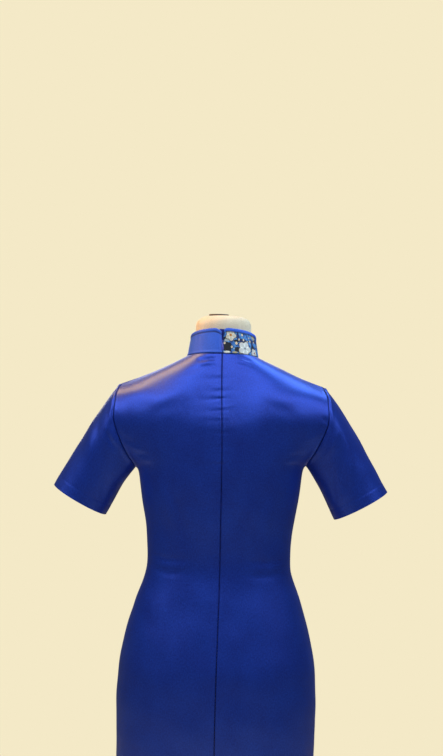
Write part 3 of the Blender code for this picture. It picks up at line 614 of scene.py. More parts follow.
def sleeve(side):
    alpha = np.linspace(0, 2 * np.pi, SLEEVE_AROUND + 1)[None, :]
    t = (eased(SLEEVE_ROWS, 0.35) ** 1.25)[:, None]
    alpha, t = np.broadcast_arrays(alpha, t)
    points = sleeve_points(alpha, t)
    out = -normals_of(sleeve_points, alpha, np.clip(t, 0.003, 1), 4e-3, 2.5e-3)
    worn = sided(points, side)
    seam = distance_to(points, armhole_line)[0]
    top = smoothstep(-0.35, 0.75, -np.cos(alpha))
    rise = HALF_WALL - 0.9 * MM * bump(seam, 1.3 * MM)
    rise += (0.35 + 1.25 * top) * MM * bump(seam - 4.5 * MM, 4.2 * MM)
    rise += 0.25 * MM * np.sin(alpha * 23 + 1.1 * np.sin(alpha * 5)) * bump(seam - 3.0 * MM, 3.5 * MM)
    behind = smoothstep(-0.004, 0.014, points[..., 1] + 0.004)
    ahead = smoothstep(0.004, -0.014, points[..., 1] + 0.004)
    fade = smoothstep(2 * MM, 12 * MM, seam)
    rise += creased(worn, SLEEVE_BACK_CREASES[side]) * behind * fade
    rise += creased(points, SLEEVE_FRONT_CREASES) * ahead * fade
    rise += 0.6 * MM * uneven(worn, 0.070, 21 + side) * fade
    hem = np.linalg.norm(points - points[-1:], axis=-1)
    rise += 0.20 * MM * smoothstep(21 * MM, 19 * MM, hem) - 0.30 * MM * bump(hem - 20 * MM, 1.5 * MM)
    rise[:, -1] = rise[:, 0]
    points = points + out * rise[..., None]
    points[:, -1] = points[:, 0]
    length = np.concatenate([np.zeros((1, points.shape[1])), np.cumsum(
        np.linalg.norm(np.diff(points, axis=0), axis=2), axis=0)])
    uv = np.stack([alpha * SLEEVE_ROUND * side, -length], axis=-1)
    # the shade here is painted shade in the armhole seam's ditch
    return add_sheet("sleeve_left_cloth" if side > 0 else "sleeve_right_cloth",
                     askew(sided(points, side)), uv, tube=True, shade=0.7 * bump(seam, 0.6 * MM))


sleeve_left = sleeve(1)
sleeve_right = sleeve(-1)
print("sleeve outer length %.3f m" % np.linalg.norm(
    np.diff(sleeve_points(np.pi, np.linspace(0, 1, 60)), axis=0), axis=1).sum())

# %% [markdown]
# ## Stand collar and its binding
# The stand collar is cut in two halves that meet at the centre front and stop either side of the
# zip. It is stiffened, so it stays smooth; only its back corners roll. A bias strip of satin is
# folded over its top edge.

# %% Collar surface
COLLAR_TOP = dict(side_z=1.452, back_z=1.466, front_z=1.392, half=0.0585, arm=0.0585,
                  back=0.0525, front=0.0625, square=2.0)
CROWN = 1.4 * MM
SLIT_HALF_TOP, SLIT_HALF_BASE = 2.3 * MM, 0.25 * MM
CORNER_DIP = {1: (6.4 * MM, 15.0 * MM), -1: (2.8 * MM, 7.0 * MM)}
COLLAR_COLUMNS, COLLAR_ROWS = 200, 30
RING = 0.0575
COLLAR_HEIGHT, COLLAR_ROUND = 0.045, 0.0625


def collar_points(side):
    """Surface of one collar half: p is the angle from the slit, q the share of its height."""
    dip, run = CORNER_DIP[side]

    def surface(p, q):
        p, q = np.broadcast_arrays(p, q)
        spread = (SLIT_HALF_BASE + (SLIT_HALF_TOP - SLIT_HALF_BASE) * q) / RING
        turn = p + spread * np.clip(1 - p / math.radians(14), 0, None)
        base = dress_points(turn, V_NECK)
        top = loop_points({k: np.full(turn.shape, x) for k, x in COLLAR_TOP.items()}, turn)
        arc = np.clip(turn - SLIT_HALF_TOP / RING, 0, None) * RING
        lower = CROWN + dip * np.clip(1 - arc / run, 0, None) ** 2
        top = top + unit(base - top) * lower[..., None]
        return base + (top - base) * q[..., None]
    return surface


def collar_half(side):
    surface = collar_points(side)
    p = (np.pi * eased(COLLAR_COLUMNS, 0.7))[None, :]
    q = eased(COLLAR_ROWS, 0.5)[:, None]
    p, q = np.broadcast_arrays(p, q)
    points = surface(p, q)
    out = normals_of(surface, np.clip(p, 0.004, np.pi - 0.004), np.clip(q, 0.02, 0.98), 3e-3, 0.015)
    height = q * COLLAR_HEIGHT
    slit = p * RING
    rise = HALF_WALL + 0.9 * MM * bump(slit, 3.0 * MM) - 0.5 * MM * bump(slit - 5 * MM, 4 * MM)
    if side > 0:
        rise += 0.9 * MM * bump(height - 2.6 * MM, 1.8 * MM) - 0.6 * MM * bump(height, 1.0 * MM)
    else:
        rise += -0.5 * MM * bump(height, 1.2 * MM)
    rise += 0.30 * MM * uneven(sided(points, side), 0.045, 31 + side)
    points = points + out * rise[..., None]
    points[..., 0] = np.maximum(points[..., 0], 0.15 * MM)
    uv = np.stack([p * COLLAR_ROUND, height], axis=-1)
    name = "collar_left_cloth" if side > 0 else "collar_right_cloth"
    # painted shade at the collar's base seam and in the ditch under the binding
    shade = np.maximum(0.8 * bump(height, 0.9 * MM), 0.9 * bump(height - 39.6 * MM, 1.1 * MM))
    return add_sheet(name, sided(points, side), uv, wall=0.9 * MM, shade=shade)


collar_left = collar_half(1)
collar_right = collar_half(-1)

# %% Bindings
# the binding's outline around the collar's edge, out and up from it, in millimetres
BINDING_OUTLINE = [(-0.72, -4.4), (-1.15, -4.5), (-1.55, -4.2), (-1.60, -3.0), (-1.60, -1.6), (-1.50, -0.4),
                   (-1.10, 0.60), (-0.50, 1.10), (0.15, 1.20), (0.85, 0.90), (1.45, 0.10),
                   (1.72, -1.0), (1.75, -2.2), (1.68, -3.4), (1.40, -4.3), (1.10, -4.55), (0.75, -4.4),
                   (0.72, -2.6), (0.68, -0.9), (0.45, 0.05), (0.0, 0.30), (-0.45, 0.05),
                   (-0.68, -0.9), (-0.72, -2.6)]


def binding(side):
    surface = collar_points(side)
    p = np.pi * eased(COLLAR_COLUMNS, 0.7)
    edge = surface(p, 1.0)
    out = normals_of(surface, np.clip(p, 0.004, np.pi - 0.004), np.full(p.shape, 0.97), 3e-3, 0.015)
    up = unit(edge - surface(p, 0.85))
    outline = np.array(BINDING_OUTLINE + BINDING_OUTLINE[:1]) * MM
    wobble = 0.10 * MM * np.sin(p * 31 + np.sin(p * 7)) + 0.08 * MM * np.sin(p * 67 + 2)
    swell = (1 + 0.06 * np.sin(p * 11))[:, None, None]
    points = (edge[:, None] + out[:, None] * (outline[None, :, :1] * swell)
              + up[:, None] * (outline[None, :, 1:] + wobble[:, None, None]))
    points[..., 0] = np.maximum(points[..., 0], 0.12 * MM)
    around = np.concatenate([[0], np.cumsum(np.linalg.norm(np.diff(outline, axis=0), axis=1))])
    uv = np.stack(np.broadcast_arrays(around[None, :], (p * RING)[:, None]), axis=-1)
    name = "binding_left_cloth" if side > 0 else "binding_right_cloth"
    cloth_pieces[name] = add_closed(name, sided(points, side), uv, 60, capped=True)
    return cloth_pieces[name]


binding_left = binding(1)
binding_right = binding(-1)

# %% [markdown]
# ## The zip
# An invisible zip hides its teeth behind the two tapes' folded edges, so from outside one sees only a
# slot with two narrow rolls of tape, and the slider at its top. The tape is a narrow sheet just behind
# the back panels. The slider and its pull are copies of the CAD solids with their sharp edges bevelled,
# because a cast slider has no sharp edges.

# %% Zip tape
ZIP_BOTTOM = 0.955
TAPE_BODY_ROWS, TAPE_COLLAR_ROWS, TAPE_COLUMNS = 180, 60, 25


def tape_points():
    across = np.linspace(-6.0, 6.0, TAPE_COLUMNS) * MM
    low_v = np.linspace(ZIP_BOTTOM, V_NECK, TAPE_BODY_ROWS)
    w = np.linspace(0.02, 0.95, TAPE_COLLAR_ROWS)
    rows = []
    for v in low_v:
        level = read_dress(np.array(v))
        turn = np.arcsin(np.clip((np.abs(across) / level["half"]) ** (level["square"] / 2), 0, 1))
        rows.append(loop_points(level, turn) * np.array((0, 1, 1)) + across[:, None] * np.array((1, 0, 0)))
    base, top = dress_points(0.0, V_NECK), loop_points(
        {k: np.array(x) for k, x in COLLAR_TOP.items()}, np.array(0.0))
    for share in w:
        seat = base + (top - base) * share
        dip = np.abs(across) ** 2 / (2 * 0.054)
        rows.append(np.stack([across, seat[1] - dip, seat[2] + 0 * across], axis=-1))
    points = np.array(rows)
    sink = np.concatenate([np.full(len(low_v), 1.5), 1.5 + 1.25 * smoothstep(0.56, 0.72, w)]) * MM
    fold = 0.55 * MM * (bump(np.abs(across) - 0.55 * MM, 0.5 * MM)) - 0.3 * MM * bump(across, 0.18 * MM)
    points[..., 1] += fold[None, :] - sink[:, None] + 0.4 * MM
    return settled(points)


tape = tape_points()
tape_uv = np.stack(np.broadcast_arrays(tape[..., 0], tape[..., 2]), axis=-1)
zip_tape = add_sheet("zip_tape_cloth", tape, tape_uv, wall=0.6 * MM)
print("tape from z %.3f to %.3f" % (tape[..., 2].min(), tape[..., 2].max()))

# %% Slider and pull tab
def round_edges(piece, width, corner, smooth):
    """Bevels edges sharper than `corner` degrees and smooths across those flatter than `smooth`."""
    edge = piece.modifiers.new("edge", "BEVEL")
    edge.width, edge.segments, edge.limit_method = width, 3, "ANGLE"
    edge.angle_limit = math.radians(corner)
    bpy.ops.object.modifier_apply(modifier=edge.name)
    bpy.ops.object.shade_smooth_by_angle(angle=math.radians(smooth))


def rounded_copy(node, name, width):
    """A copy of a CAD node with merged corners and bevelled edges."""
    bpy.ops.object.select_all(action="DESELECT")
    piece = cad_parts[node].copy()
    piece.data = piece.data.copy()
    piece.name = piece.data.name = name
    piece.parent = None
    for key in list(piece.keys()):
        del piece[key]
    bpy.context.scene.collection.objects.link(piece)
    piece.select_set(True)
    bpy.context.view_layer.objects.active = piece
    bpy.ops.object.mode_set(mode="EDIT")
    bpy.ops.mesh.select_all(action="SELECT")
    bpy.ops.mesh.remove_doubles(threshold=WELD)
    bpy.ops.mesh.dissolve_limited(angle_limit=math.radians(3))
    bpy.ops.object.mode_set(mode="OBJECT")
    round_edges(piece, width, 35, 40)
    return piece


slider = rounded_copy("zip_slider", "zip_slider_body", 0.12 * MM)
pull = rounded_copy("zip_pull", "zip_pull_tab", 0.16 * MM)
print("pull tab", [round(x * 1000, 1) for x in pull.dimensions], "mm")

# %% [markdown]
# ## The dress form
# The form is a stuffed body under a stretched linen cover. Only its neck shows above the collar, but it
# carries the whole dress, so it is modelled whole: one tube of loops on its own table, closed at both
# ends, with a pocket below for the pole. A few creases in the cover are drawn at the neck.

# %% Form body
FORM_LEVELS = flat_levels([
    (0.700, 0.1630, 0.0930, 0.0860, 2.30),
    (0.706, 0.1750, 0.1050, 0.0975, 2.30),
    (0.718, 0.1790, 0.1100, 0.1010, 2.30),
    (0.780, 0.1800, 0.1148, 0.1010, 2.30),
    (0.840, 0.1770, 0.1138, 0.0990, 2.30),
    (0.900, 0.1670, 0.1038, 0.0960, 2.25),
    (0.960, 0.1500, 0.0898, 0.0930, 2.20),
    (1.035, 0.1280, 0.0758, 0.0880, 2.20),
    (1.085, 0.1300, 0.0798, 0.0960, 2.20),
    (1.140, 0.1385, 0.0873, 0.1130, 2.20),
    (1.180, 0.1445, 0.0918, 0.1235, 2.20),
    (1.216, 0.1490, 0.0948, 0.1240, 2.20),
]) + [
    (1.237, 1.2380, 1.2360, 1.2335, 0.1540, 0.1540, 0.0960, 0.1215, 2.20),
    (1.2885, 1.3020, 1.2830, 1.2630, 0.1650, 0.1690, 0.0968, 0.1120, 2.20),
    (1.340, 1.3435, 1.3195, 1.2820, 0.1735, 0.1760, 0.0908, 0.1010, 2.15),
    (1.361, 1.3575, 1.3325, 1.2885, 0.1740, 0.1740, 0.0868, 0.0960, 2.15),
    (1.407, 1.3738, 1.3660, 1.3110, 0.1440, 0.1440, 0.0768, 0.0850, 2.10),
    (1.453, 1.3930, 1.3965, 1.3310, 0.1015, 0.1015, 0.0662, 0.0735, 2.05),
    (1.492, 1.4110, 1.4180, 1.3485, 0.0615, 0.0615, 0.0562, 0.0600, 2.00),
    (1.515, 1.4360, 1.4400, 1.4180, 0.0520, 0.0520, 0.0495, 0.0545, 2.00),
    (1.535, 1.4600, 1.4600, 1.4560, 0.0503, 0.0503, 0.0475, 0.0520, 2.00),
    (1.545, 1.4715, 1.4715, 1.4705, 0.0499, 0.0499, 0.0470, 0.0512, 2.00),
    (1.552, 1.4785, 1.4785, 1.4780, 0.0474, 0.0474, 0.0448, 0.0482, 2.00),
    (1.557, 1.4835, 1.4835, 1.4832, 0.0427, 0.0427, 0.0405, 0.0432, 2.00),
    (1.5615, 1.4875, 1.4875, 1.4873, 0.0345, 0.0345, 0.0330, 0.0350, 2.00),
    (1.566, 1.4898, 1.4898, 1.4898, 0.0225, 0.0225, 0.0220, 0.0230, 2.00),
]
POCKET_RADIUS, POCKET_TOP = 12.8 * MM, 0.760
FORM_GIRTH = 0.62


def form_rings(around):
    turn = np.linspace(0, 2 * np.pi, around + 1)
    read_form = level_reader(FORM_LEVELS, 0)
    levels = np.concatenate([np.linspace(0.700, 0.720, 7), np.linspace(0.727, 1.484, 108),
                             np.linspace(1.490, 1.549, 30), np.linspace(1.5505, 1.566, 16)])
    phi, v = np.meshgrid(turn, levels)
    body = loop_points(read_form(v), phi)
    ring = np.stack([np.sin(turn), np.cos(turn), 0 * turn], axis=-1)
    pocket = [ring * r + np.array((0, 0, z)) for r, z in
              ((0.0, POCKET_TOP), (POCKET_RADIUS, POCKET_TOP),
               (POCKET_RADIUS, 0.730), (POCKET_RADIUS, 0.700))]
    cap = body[-1:].mean(axis=1, keepdims=True) + 0 * body[-1:]
    return np.concatenate([np.array(pocket), body, cap])


rings = form_rings(112)
neck = smoothstep(1.44, 1.46, rings[..., 2]) * smoothstep(1.4898, 1.4885, rings[..., 2])
outward = unit(rings * np.array((1, 1, 0)))
NECK_CREASES = [
    (-0.9, 1.3, 0.0300, 1.4885, 0.0296, 1.480, 0.0292, 1.468, 0.0300, 1.455),
    (0.5, 1.6, 0.0330, 1.487, 0.0325, 1.478, 0.0320, 1.466),
    (-0.5, 1.2, -0.0110, 1.4855, -0.0160, 1.4845, -0.0230, 1.4835),
    (-0.4, 1.2, -0.0120, 1.4815, -0.0170, 1.4800, -0.0215, 1.4795),
    (-0.5, 1.4, -0.0300, 1.478, -0.0310, 1.468, -0.0315, 1.458),
]
rise = creased(rings, NECK_CREASES) * neck * smoothstep(-0.005, 0.01, rings[..., 1])
rise += (0.9 + 0.35 * uneven(rings, 0.050, 3)) * MM * neck
rise[:, -1] = rise[:, 0]
rings = rings + outward * rise[..., None]
turns = np.linspace(0, 1, rings.shape[1])[None, :]
linen_uv = np.stack(np.broadcast_arrays(turns * FORM_GIRTH + 0 * rings[..., 2], rings[..., 2]), axis=-1)


form = add_closed("form_linen_body", rings, linen_uv, 50)
print("form top at %.4f m" % rings[..., 2].max())

# %% [markdown]
# ## Neck plate, pole and base
# These are turned parts, so each starts as a cylinder and is shaped by insets and lifts, the way a
# lathe cuts one step after another. A bevel rounds every corner.

# %% Turned parts
def step(inwards, up):
    """Inset the selected end face and lift it: one cut of the lathe."""
    bpy.ops.mesh.inset(thickness=inwards, depth=0)
    if up:
        bpy.ops.transform.translate(value=(0, 0, up))


def turned(name, radius, low, high, cuts, centre=(0.0, 0.0), bevel=0.6 * MM, around=96):
    bpy.ops.object.select_all(action="DESELECT")
    bpy.ops.mesh.primitive_cylinder_add(vertices=around, radius=radius, depth=high - low,
                                        location=(centre[0], centre[1], (low + high) / 2))
    piece = bpy.context.object
    piece.name = piece.data.name = name
    bpy.ops.object.transform_apply(location=True, rotation=True, scale=True)
    bpy.ops.object.mode_set(mode="EDIT")
    bpy.ops.mesh.select_mode(type="FACE")
    bpy.ops.mesh.select_all(action="DESELECT")
    bpy.ops.object.mode_set(mode="OBJECT")
    for face in piece.data.polygons:
        face.select = face.normal.z > 0.9
    bpy.ops.object.mode_set(mode="EDIT")
    for inwards, up in cuts:
        step(inwards, up)
    bpy.ops.object.mode_set(mode="OBJECT")
    round_edges(piece, bevel, 30, 35)
    print(name, "radius %.4f m, top %.4f m" % (radius, max(v.co.z for v in piece.data.vertices)))
    return piece


neck_plate = turned("neck_plate_disc", 0.0186, 1.4902, 1.4921,
                    [(1.2 * MM, 0.5 * MM), (11.0 * MM, 0), (0.8 * MM, -0.5 * MM)],
                    centre=(0.0090, -0.001), bevel=0.35 * MM)
pole = turned("pole_tube", 12.5 * MM, 0.0203, 0.7585, [(2.0 * MM, 0), (0.5 * MM, -3.0 * MM)])
base = turned("base_disc", 0.175, 0.0, 0.0105,
              [(0.0030, 0.0015), (0.0520, 0.0045), (0.0750, 0.0050), (0.0190, 0.0045),
               (0.0040, 0.0070), (0.0001, 0.0270), (0.0015, 0.0015), (0.0075, 0),
               (0.0002, -0.0410)], bevel=0.5 * MM, around=128)

# %% [markdown]
# ## A small language for shaders
# A shader is arithmetic on values that vary over a surface. This class wraps a node's output socket so
# that ordinary Python expressions add Math nodes, and one method adds any other node from its type,
# its settings and its inputs.

# %% Sockets and finishes
class Value:
    def __init__(self, finish, socket):
        self.finish, self.socket = finish, socket

    def math(self, operation, *others):
        return self.finish.node("ShaderNodeMath", {"operation": operation},
                                {i: x for i, x in enumerate((self, *others))})

    def __add__(self, other): return self.math("ADD", other)
    def __sub__(self, other): return self.math("SUBTRACT", other)
    def __mul__(self, other): return self.math("MULTIPLY", other)
    def __truediv__(self, other): return self.math("DIVIDE", other)
    def __radd__(self, other): return self + other


class Finish:
    """One material and the nodes that make it."""

    def __init__(self, name):
        self.material = bpy.data.materials.new(name)
        self.material.use_nodes = True
        self.tree = self.material.node_tree
        self.shader = self.tree.nodes["Principled BSDF"]

    def node(self, kind, settings=None, inputs=None, output=0):
        node = self.tree.nodes.new(kind)
        for key, value in (settings or {}).items():
            if key == "stops":
                fill_ramp(node.color_ramp, value)
            else:
                setattr(node, key, value)
        for key, value in (inputs or {}).items():
            socket = node.inputs[key]
            if isinstance(value, Value):
                self.tree.links.new(value.socket, socket)
            else:
                socket.default_value = value
        return Value(self, node.outputs[output])

    def feed(self, **sockets):
        for key, value in sockets.items():
            socket = self.shader.inputs[key.replace("_", " ").title().replace("Ior", "IOR")]
            if isinstance(value, Value):
                self.tree.links.new(value.socket, socket)
            else:
                socket.default_value = value

    def mix(self, factor, first, second, blend="MIX"):
        return self.node("ShaderNodeMix", {"data_type": "RGBA", "blend_type": blend},
                         {0: factor, 6: first, 7: second}, output=2)

    def noise(self, where, scale, detail=2.0, rough=0.5):
        return self.node("ShaderNodeTexNoise", {}, {"Vector": where, "Scale": scale, "Detail": detail,
                                                    "Roughness": rough})

    def stretched(self, where, scale, offset=(0, 0, 0)):
        return self.node("ShaderNodeMapping", {}, {"Vector": where, "Scale": scale, "Location": offset})

    def bump(self, height, distance, strength=1.0, under=None):
        inputs = {"Height": height, "Distance": distance, "Strength": strength}
        if under is not None:
            inputs["Normal"] = under
        return self.node("ShaderNodeBump", {}, inputs)


def fill_ramp(ramp, stops):
    while len(ramp.elements) > 1:
        ramp.elements.remove(ramp.elements[-1])
    for index, (place, colour) in enumerate(stops):
        element = ramp.elements[0] if index == 0 else ramp.elements.new(place)
        element.position, element.color = place, colour


def srgb(red, green, blue):
    """A paint-box colour, 0 to 255, as the linear light that the shader needs."""
    linear = [c / 255 / 12.92 if c <= 10 else ((c / 255 + 0.055) / 1.055) ** 2.4
              for c in (red, green, blue)]
    return (*linear, 1.0)


# %% [markdown]
# ## Satin
# Satin shows long floats of warp thread, so it is smooth and glossy along the thread and a little
# rougher across it, and its highlight is the colour of the light. The base colour drifts slightly
# from thread to thread; fine ribs along the warp make the sheen silky.

# %% Royal-blue satin
def painted_seam_shade(finish, colour, darkest):
    """Darkens the colour along the stitched lines, where no light gets in."""
    mask = finish.node("ShaderNodeAttribute", {"attribute_name": "painted_seam_shade"}, output=2)
    return finish.mix(mask, colour, darkest)


def satin_finish(name, deep, clear, roughness=0.40, metallic=0.50):
    satin = Finish(name)
    place = satin.node("ShaderNodeTexCoord", output=2)
    threads = satin.noise(satin.stretched(place, (5200, 240, 1)), 1.0, 2.0)
    slubs = satin.noise(satin.stretched(place, (700, 160, 1)), 1.0, 3.0, 0.6)
    cloud = satin.noise(satin.stretched(place, (22, 14, 1)), 1.0, 3.0, 0.55)
    grain = satin.noise(satin.stretched(place, (430, 340, 1)), 1.0, 2.0)
    tone = cloud * 0.24 + slubs * 0.24 + threads * 0.12 + grain * 0.40
    colour = satin.node("ShaderNodeValToRGB", {"stops": [(0.32, deep), (0.68, clear)]}, {0: tone})
    ribs = satin.node("ShaderNodeTexWave", {"wave_type": "BANDS", "bands_direction": "X"},
                      {"Vector": satin.stretched(place, (1700, 1700, 1)), "Scale": 0.5,
                       "Distortion": 1.2, "Detail": 1.0})
    weave = ribs * 0.35 + threads * 0.65
    fine = satin.bump(weave, 0.00006, 0.35)
    soft = satin.bump(cloud + slubs * 0.30, 0.0011, 0.5, under=fine)
    # the seams' painted shade darkens the base colour towards deep navy
    satin.feed(base_color=painted_seam_shade(satin, colour, srgb(8, 12, 40)),
               roughness=roughness - 0.14 + slubs * 0.14 + grain * 0.14, normal=soft, metallic=metallic,
               specular_ior_level=0.50, sheen_weight=0.08, sheen_roughness=0.45,
               sheen_tint=srgb(120, 150, 240))
    return satin


blue_satin = satin_finish("royal_blue_satin", srgb(24, 46, 152), srgb(34, 78, 208))
# the collar and its bindings are the body's satin painted lighter, standing in for the light the collar
# catches; being stiffened, it is rougher and less metallic
collar_satin_painted_lighter = satin_finish("stiffened_satin_painted_lighter", srgb(32, 82, 204), srgb(46, 104, 234), 0.58, 0.05)

# %% [markdown]
# ## The figured collar half
# The wearer's right collar half is cut from a figured satin: pale blossoms outlined in gold, small
# cream buds on dark stems, and near-black leaves and rockwork on a sky-blue ground. Each motif is a
# small formula on the cloth's own coordinates, in millimetres along and up the collar, and tables
# place them. The whole figure repeats around to the front.

# %% Motif formulas
FIGURE_REPEAT = 98.0


def motif_places(finish):
    """u and v in millimetres, wavering a little as a woven outline does; u repeats."""
    place = finish.node("ShaderNodeTexCoord", output=2)
    wobble = finish.noise(place, 420.0, 2.0)
    other = finish.noise(finish.stretched(place, (1, 1, 1), (0.31, 0.17, 0)), 420.0, 2.0)
    u = finish.node("ShaderNodeSeparateXYZ", {}, {0: place}, output=0).math("ABSOLUTE") * 1000
    v = finish.node("ShaderNodeSeparateXYZ", {}, {0: place}, output=1) * 1000
    u = u + (wobble - 0.5) * 1.6
    v = v + (other - 0.5) * 1.6
    return u.math("MODULO", FIGURE_REPEAT), v


def inside(distance, soft=0.25):
    """1 where the distance to an outline is negative, with a soft edge."""
    return (distance * (-1 / soft)).math("MULTIPLY_ADD", 1.0, 0.5).math("MAXIMUM", 0.0).math("MINIMUM", 1.0)


def polar(u, v, centre):
    du, dv = u - centre[0], v - centre[1]
    return (du * du + dv * dv).math("SQRT"), dv.math("ARCTAN2", du)


WARM_HEART = (222, 146, 58)
PETALS = 5


def blossom(finish, ground, u, v, centre, radius, turn, petal, heart):
    """Round petals with a gold outline, grey veins and a darker heart."""
    r, angle = polar(u, v, centre)
    lobes = (angle * (PETALS / 2) + turn).math("COSINE").math("ABSOLUTE")
    edge = r - (lobes * 0.30 + 0.70) * radius
    veins = inside((angle * PETALS + turn * 2).math("SINE") - 0.4, 1.2)
    shade = inside((lobes * -1) + 0.30, 0.26) * 0.5 + veins * 0.12
    white = finish.mix(shade, srgb(*petal), srgb(*(int(c * 0.66) for c in petal)))
    colour = finish.mix(inside(edge - 1.4, 0.6), ground, srgb(22, 30, 58))
    colour = finish.mix(inside(edge - 0.45), colour, srgb(176, 144, 84))
    colour = finish.mix(inside(edge), colour, white)
    colour = finish.mix(inside(r - radius * 0.25), colour, srgb(*heart))
    return finish.mix(inside(r - radius * 0.12), colour, srgb(*(int(c * 0.55) for c in heart)))


def bud(finish, ground, u, v, centre, size):
    r, _ = polar(u, (v - centre[1]) * 0.8 + centre[1], centre)
    colour = finish.mix(inside(r - size - 0.6), ground, srgb(20, 22, 40))
    colour = finish.mix(inside(r - size), colour, srgb(238, 226, 190))
    return finish.mix(inside(r - size * 0.4), colour, srgb(226, 140, 54))


def patch(finish, ground, u, v, centre, half, colour, corner, lobes):
    """A rounded leaf or rock, `half` wide and high; lobes scallop its outline."""
    du, dv = (u - centre[0]) / half[0], (v - centre[1]) / half[1]
    reach = (du.math("ABSOLUTE").math("POWER", corner)
             + dv.math("ABSOLUTE").math("POWER", corner)).math("POWER", 1 / corner)
    if lobes:
        reach = reach - (dv.math("ARCTAN2", du) * lobes).math("COSINE").math("ABSOLUTE") * 0.16
    return finish.mix(inside((reach - 1.0) * min(half)), ground, srgb(*colour))


def stem(finish, ground, u, v, centre, radius, sector, width=0.8, colour=(18, 20, 36)):
    """An arc of a circle between two angles."""
    r, angle = polar(u, v, centre)
    line = inside((r - radius).math("ABSOLUTE") - width)
    span = inside((angle - (sector[0] + sector[1]) / 2).math("ABSOLUTE") - (sector[1] - sector[0]) / 2, 0.1)
    return finish.mix(line * span, ground, srgb(*colour))


# %% Figured satin
BLACK, NAVY, CREAM_PATCH = (24, 26, 38), (26, 44, 104), (216, 202, 168)
# centre, half size, colour, squareness of the corners, lobes
LEAVES_AND_ROCKS = [
    ((8.5, 11.5), (7.4, 8.2), BLACK, 2.6, 3.5), ((6.5, 27.5), (6.4, 4.4), BLACK, 2.0, 2.5),
    ((25.5, 23.5), (4.6, 2.2), BLACK, 2.4, 3.5), ((35.0, 24.0), (5.2, 1.8), BLACK, 2.4, 2.5),
    ((28.5, 33.0), (2.2, 6.6), NAVY, 2.0, 1.5), ((27, 8.0), (5.4, 4.2), BLACK, 2.0, 2.5),
    ((39, 25.0), (9.0, 3.6), NAVY, 2.0, 3.5), ((64, 9), (5.6, 11.5), BLACK, 2.0, 2.5),
    ((62, 25), (3.2, 7.0), NAVY, 2.0, 1.5), ((78, 30), (6.5, 4.2), NAVY, 2.0, 2.5),
    ((92, 20), (4.2, 8.0), BLACK, 2.0, 2.5),
]
PALE_PATCHES = [
    ((7.2, 24.6), (5.2, 2.6), (160, 172, 178), 2.0, 2.5),
    ((7.8, 2.4), (5.4, 1.9), (236, 236, 228), 2.0, 3.5),
    ((22, 2.4), (4.6, 1.4), (196, 178, 128), 2.0, 2.5), ((34, 2.0), (3.6, 1.3), CREAM_PATCH, 2.0, 2.5),
    ((20.5, 9.0), (1.9, 1.4), (130, 178, 214), 2.4, 0.0),
]
# centre, radius, first and last angle
STEMS = [((6.0, 19.0), 10.5, (0.7, 2.5)), ((36.0, 13.0), 13.5, (0.6, 2.1)),
         ((54.0, 14.0), 12.5, (0.9, 2.5)), ((24.0, 12.0), 9.0, (-0.8, 1.4)),
         ((73.0, 22.0), 9.0, (1.2, 2.8)), ((90.0, 20.0), 9.0, (0.2, 1.9))]
BUDS = [((2.6, 19.4), 1.7), ((16.4, 12.0), 1.7), ((25.4, 19.4), 2.2), ((31.0, 26.6), 1.5),
        ((40.5, 27.0), 1.6), ((49.5, 24.0), 1.6), ((57.0, 26.6), 1.8), ((38.2, 36.2), 1.8),
        ((70.0, 27.0), 1.6), ((93.0, 29.5), 1.8), ((79.5, 20.0), 1.5), ((55.0, 33.0), 1.2)]
# centre, radius, turn, petal colour, heart colour
BLOSSOMS = [((14.6, 33.6), 10.6, 0.4, (246, 240, 224), WARM_HEART),
            ((42.5, 11.0), 13.6, 0.35, (250, 252, 252), (196, 202, 208)),
            ((67.5, 5.0), 9.2, 1.0, (250, 250, 248), WARM_HEART),
            ((70.0, 37.0), 6.0, 0.9, (208, 200, 178), WARM_HEART)]


def figured_finish():
    cloth = Finish("figured_satin")
    place = cloth.node("ShaderNodeTexCoord", output=2)
    u, v = motif_places(cloth)
    drift = cloth.noise(place, 150.0, 2.0)
    sky = [(0.34, srgb(20, 50, 118)), (0.47, srgb(38, 96, 178)), (0.62, srgb(82, 148, 216))]
    colour = cloth.node("ShaderNodeValToRGB", {"stops": sky}, {0: drift + u * 0.0008})
    for motif, table in ((patch, LEAVES_AND_ROCKS), (stem, STEMS), (patch, PALE_PATCHES),
                         (bud, BUDS), (blossom, BLOSSOMS)):
        for row in table:
            colour = motif(cloth, colour, u, v, *row)
    threads = cloth.noise(cloth.stretched(place, (3200, 900, 1)), 1.0, 2.0)
    colour = cloth.mix(0.14, colour, cloth.mix(threads, srgb(70, 70, 80), srgb(250, 250, 250)), "OVERLAY")
    # the seams' painted shade darkens the colour towards near-black navy
    cloth.feed(base_color=painted_seam_shade(cloth, colour, srgb(14, 16, 34)), roughness=0.46 + threads * 0.16,
               metallic=0.05, normal=cloth.bump(threads, 0.00010, 0.5), specular_ior_level=0.35)
    return cloth


figured = figured_finish()
print("figured cloth uses", len(figured.tree.nodes), "nodes")

# %% [markdown]
# ## Linen, zip and hard finishes
# Plain-weave linen has threads both ways with slubs in them. The zip tape is a matt twill. The slider
# is lacquered metal, lighter on its sharp edges; the pole is brushed and the base powder-coated.

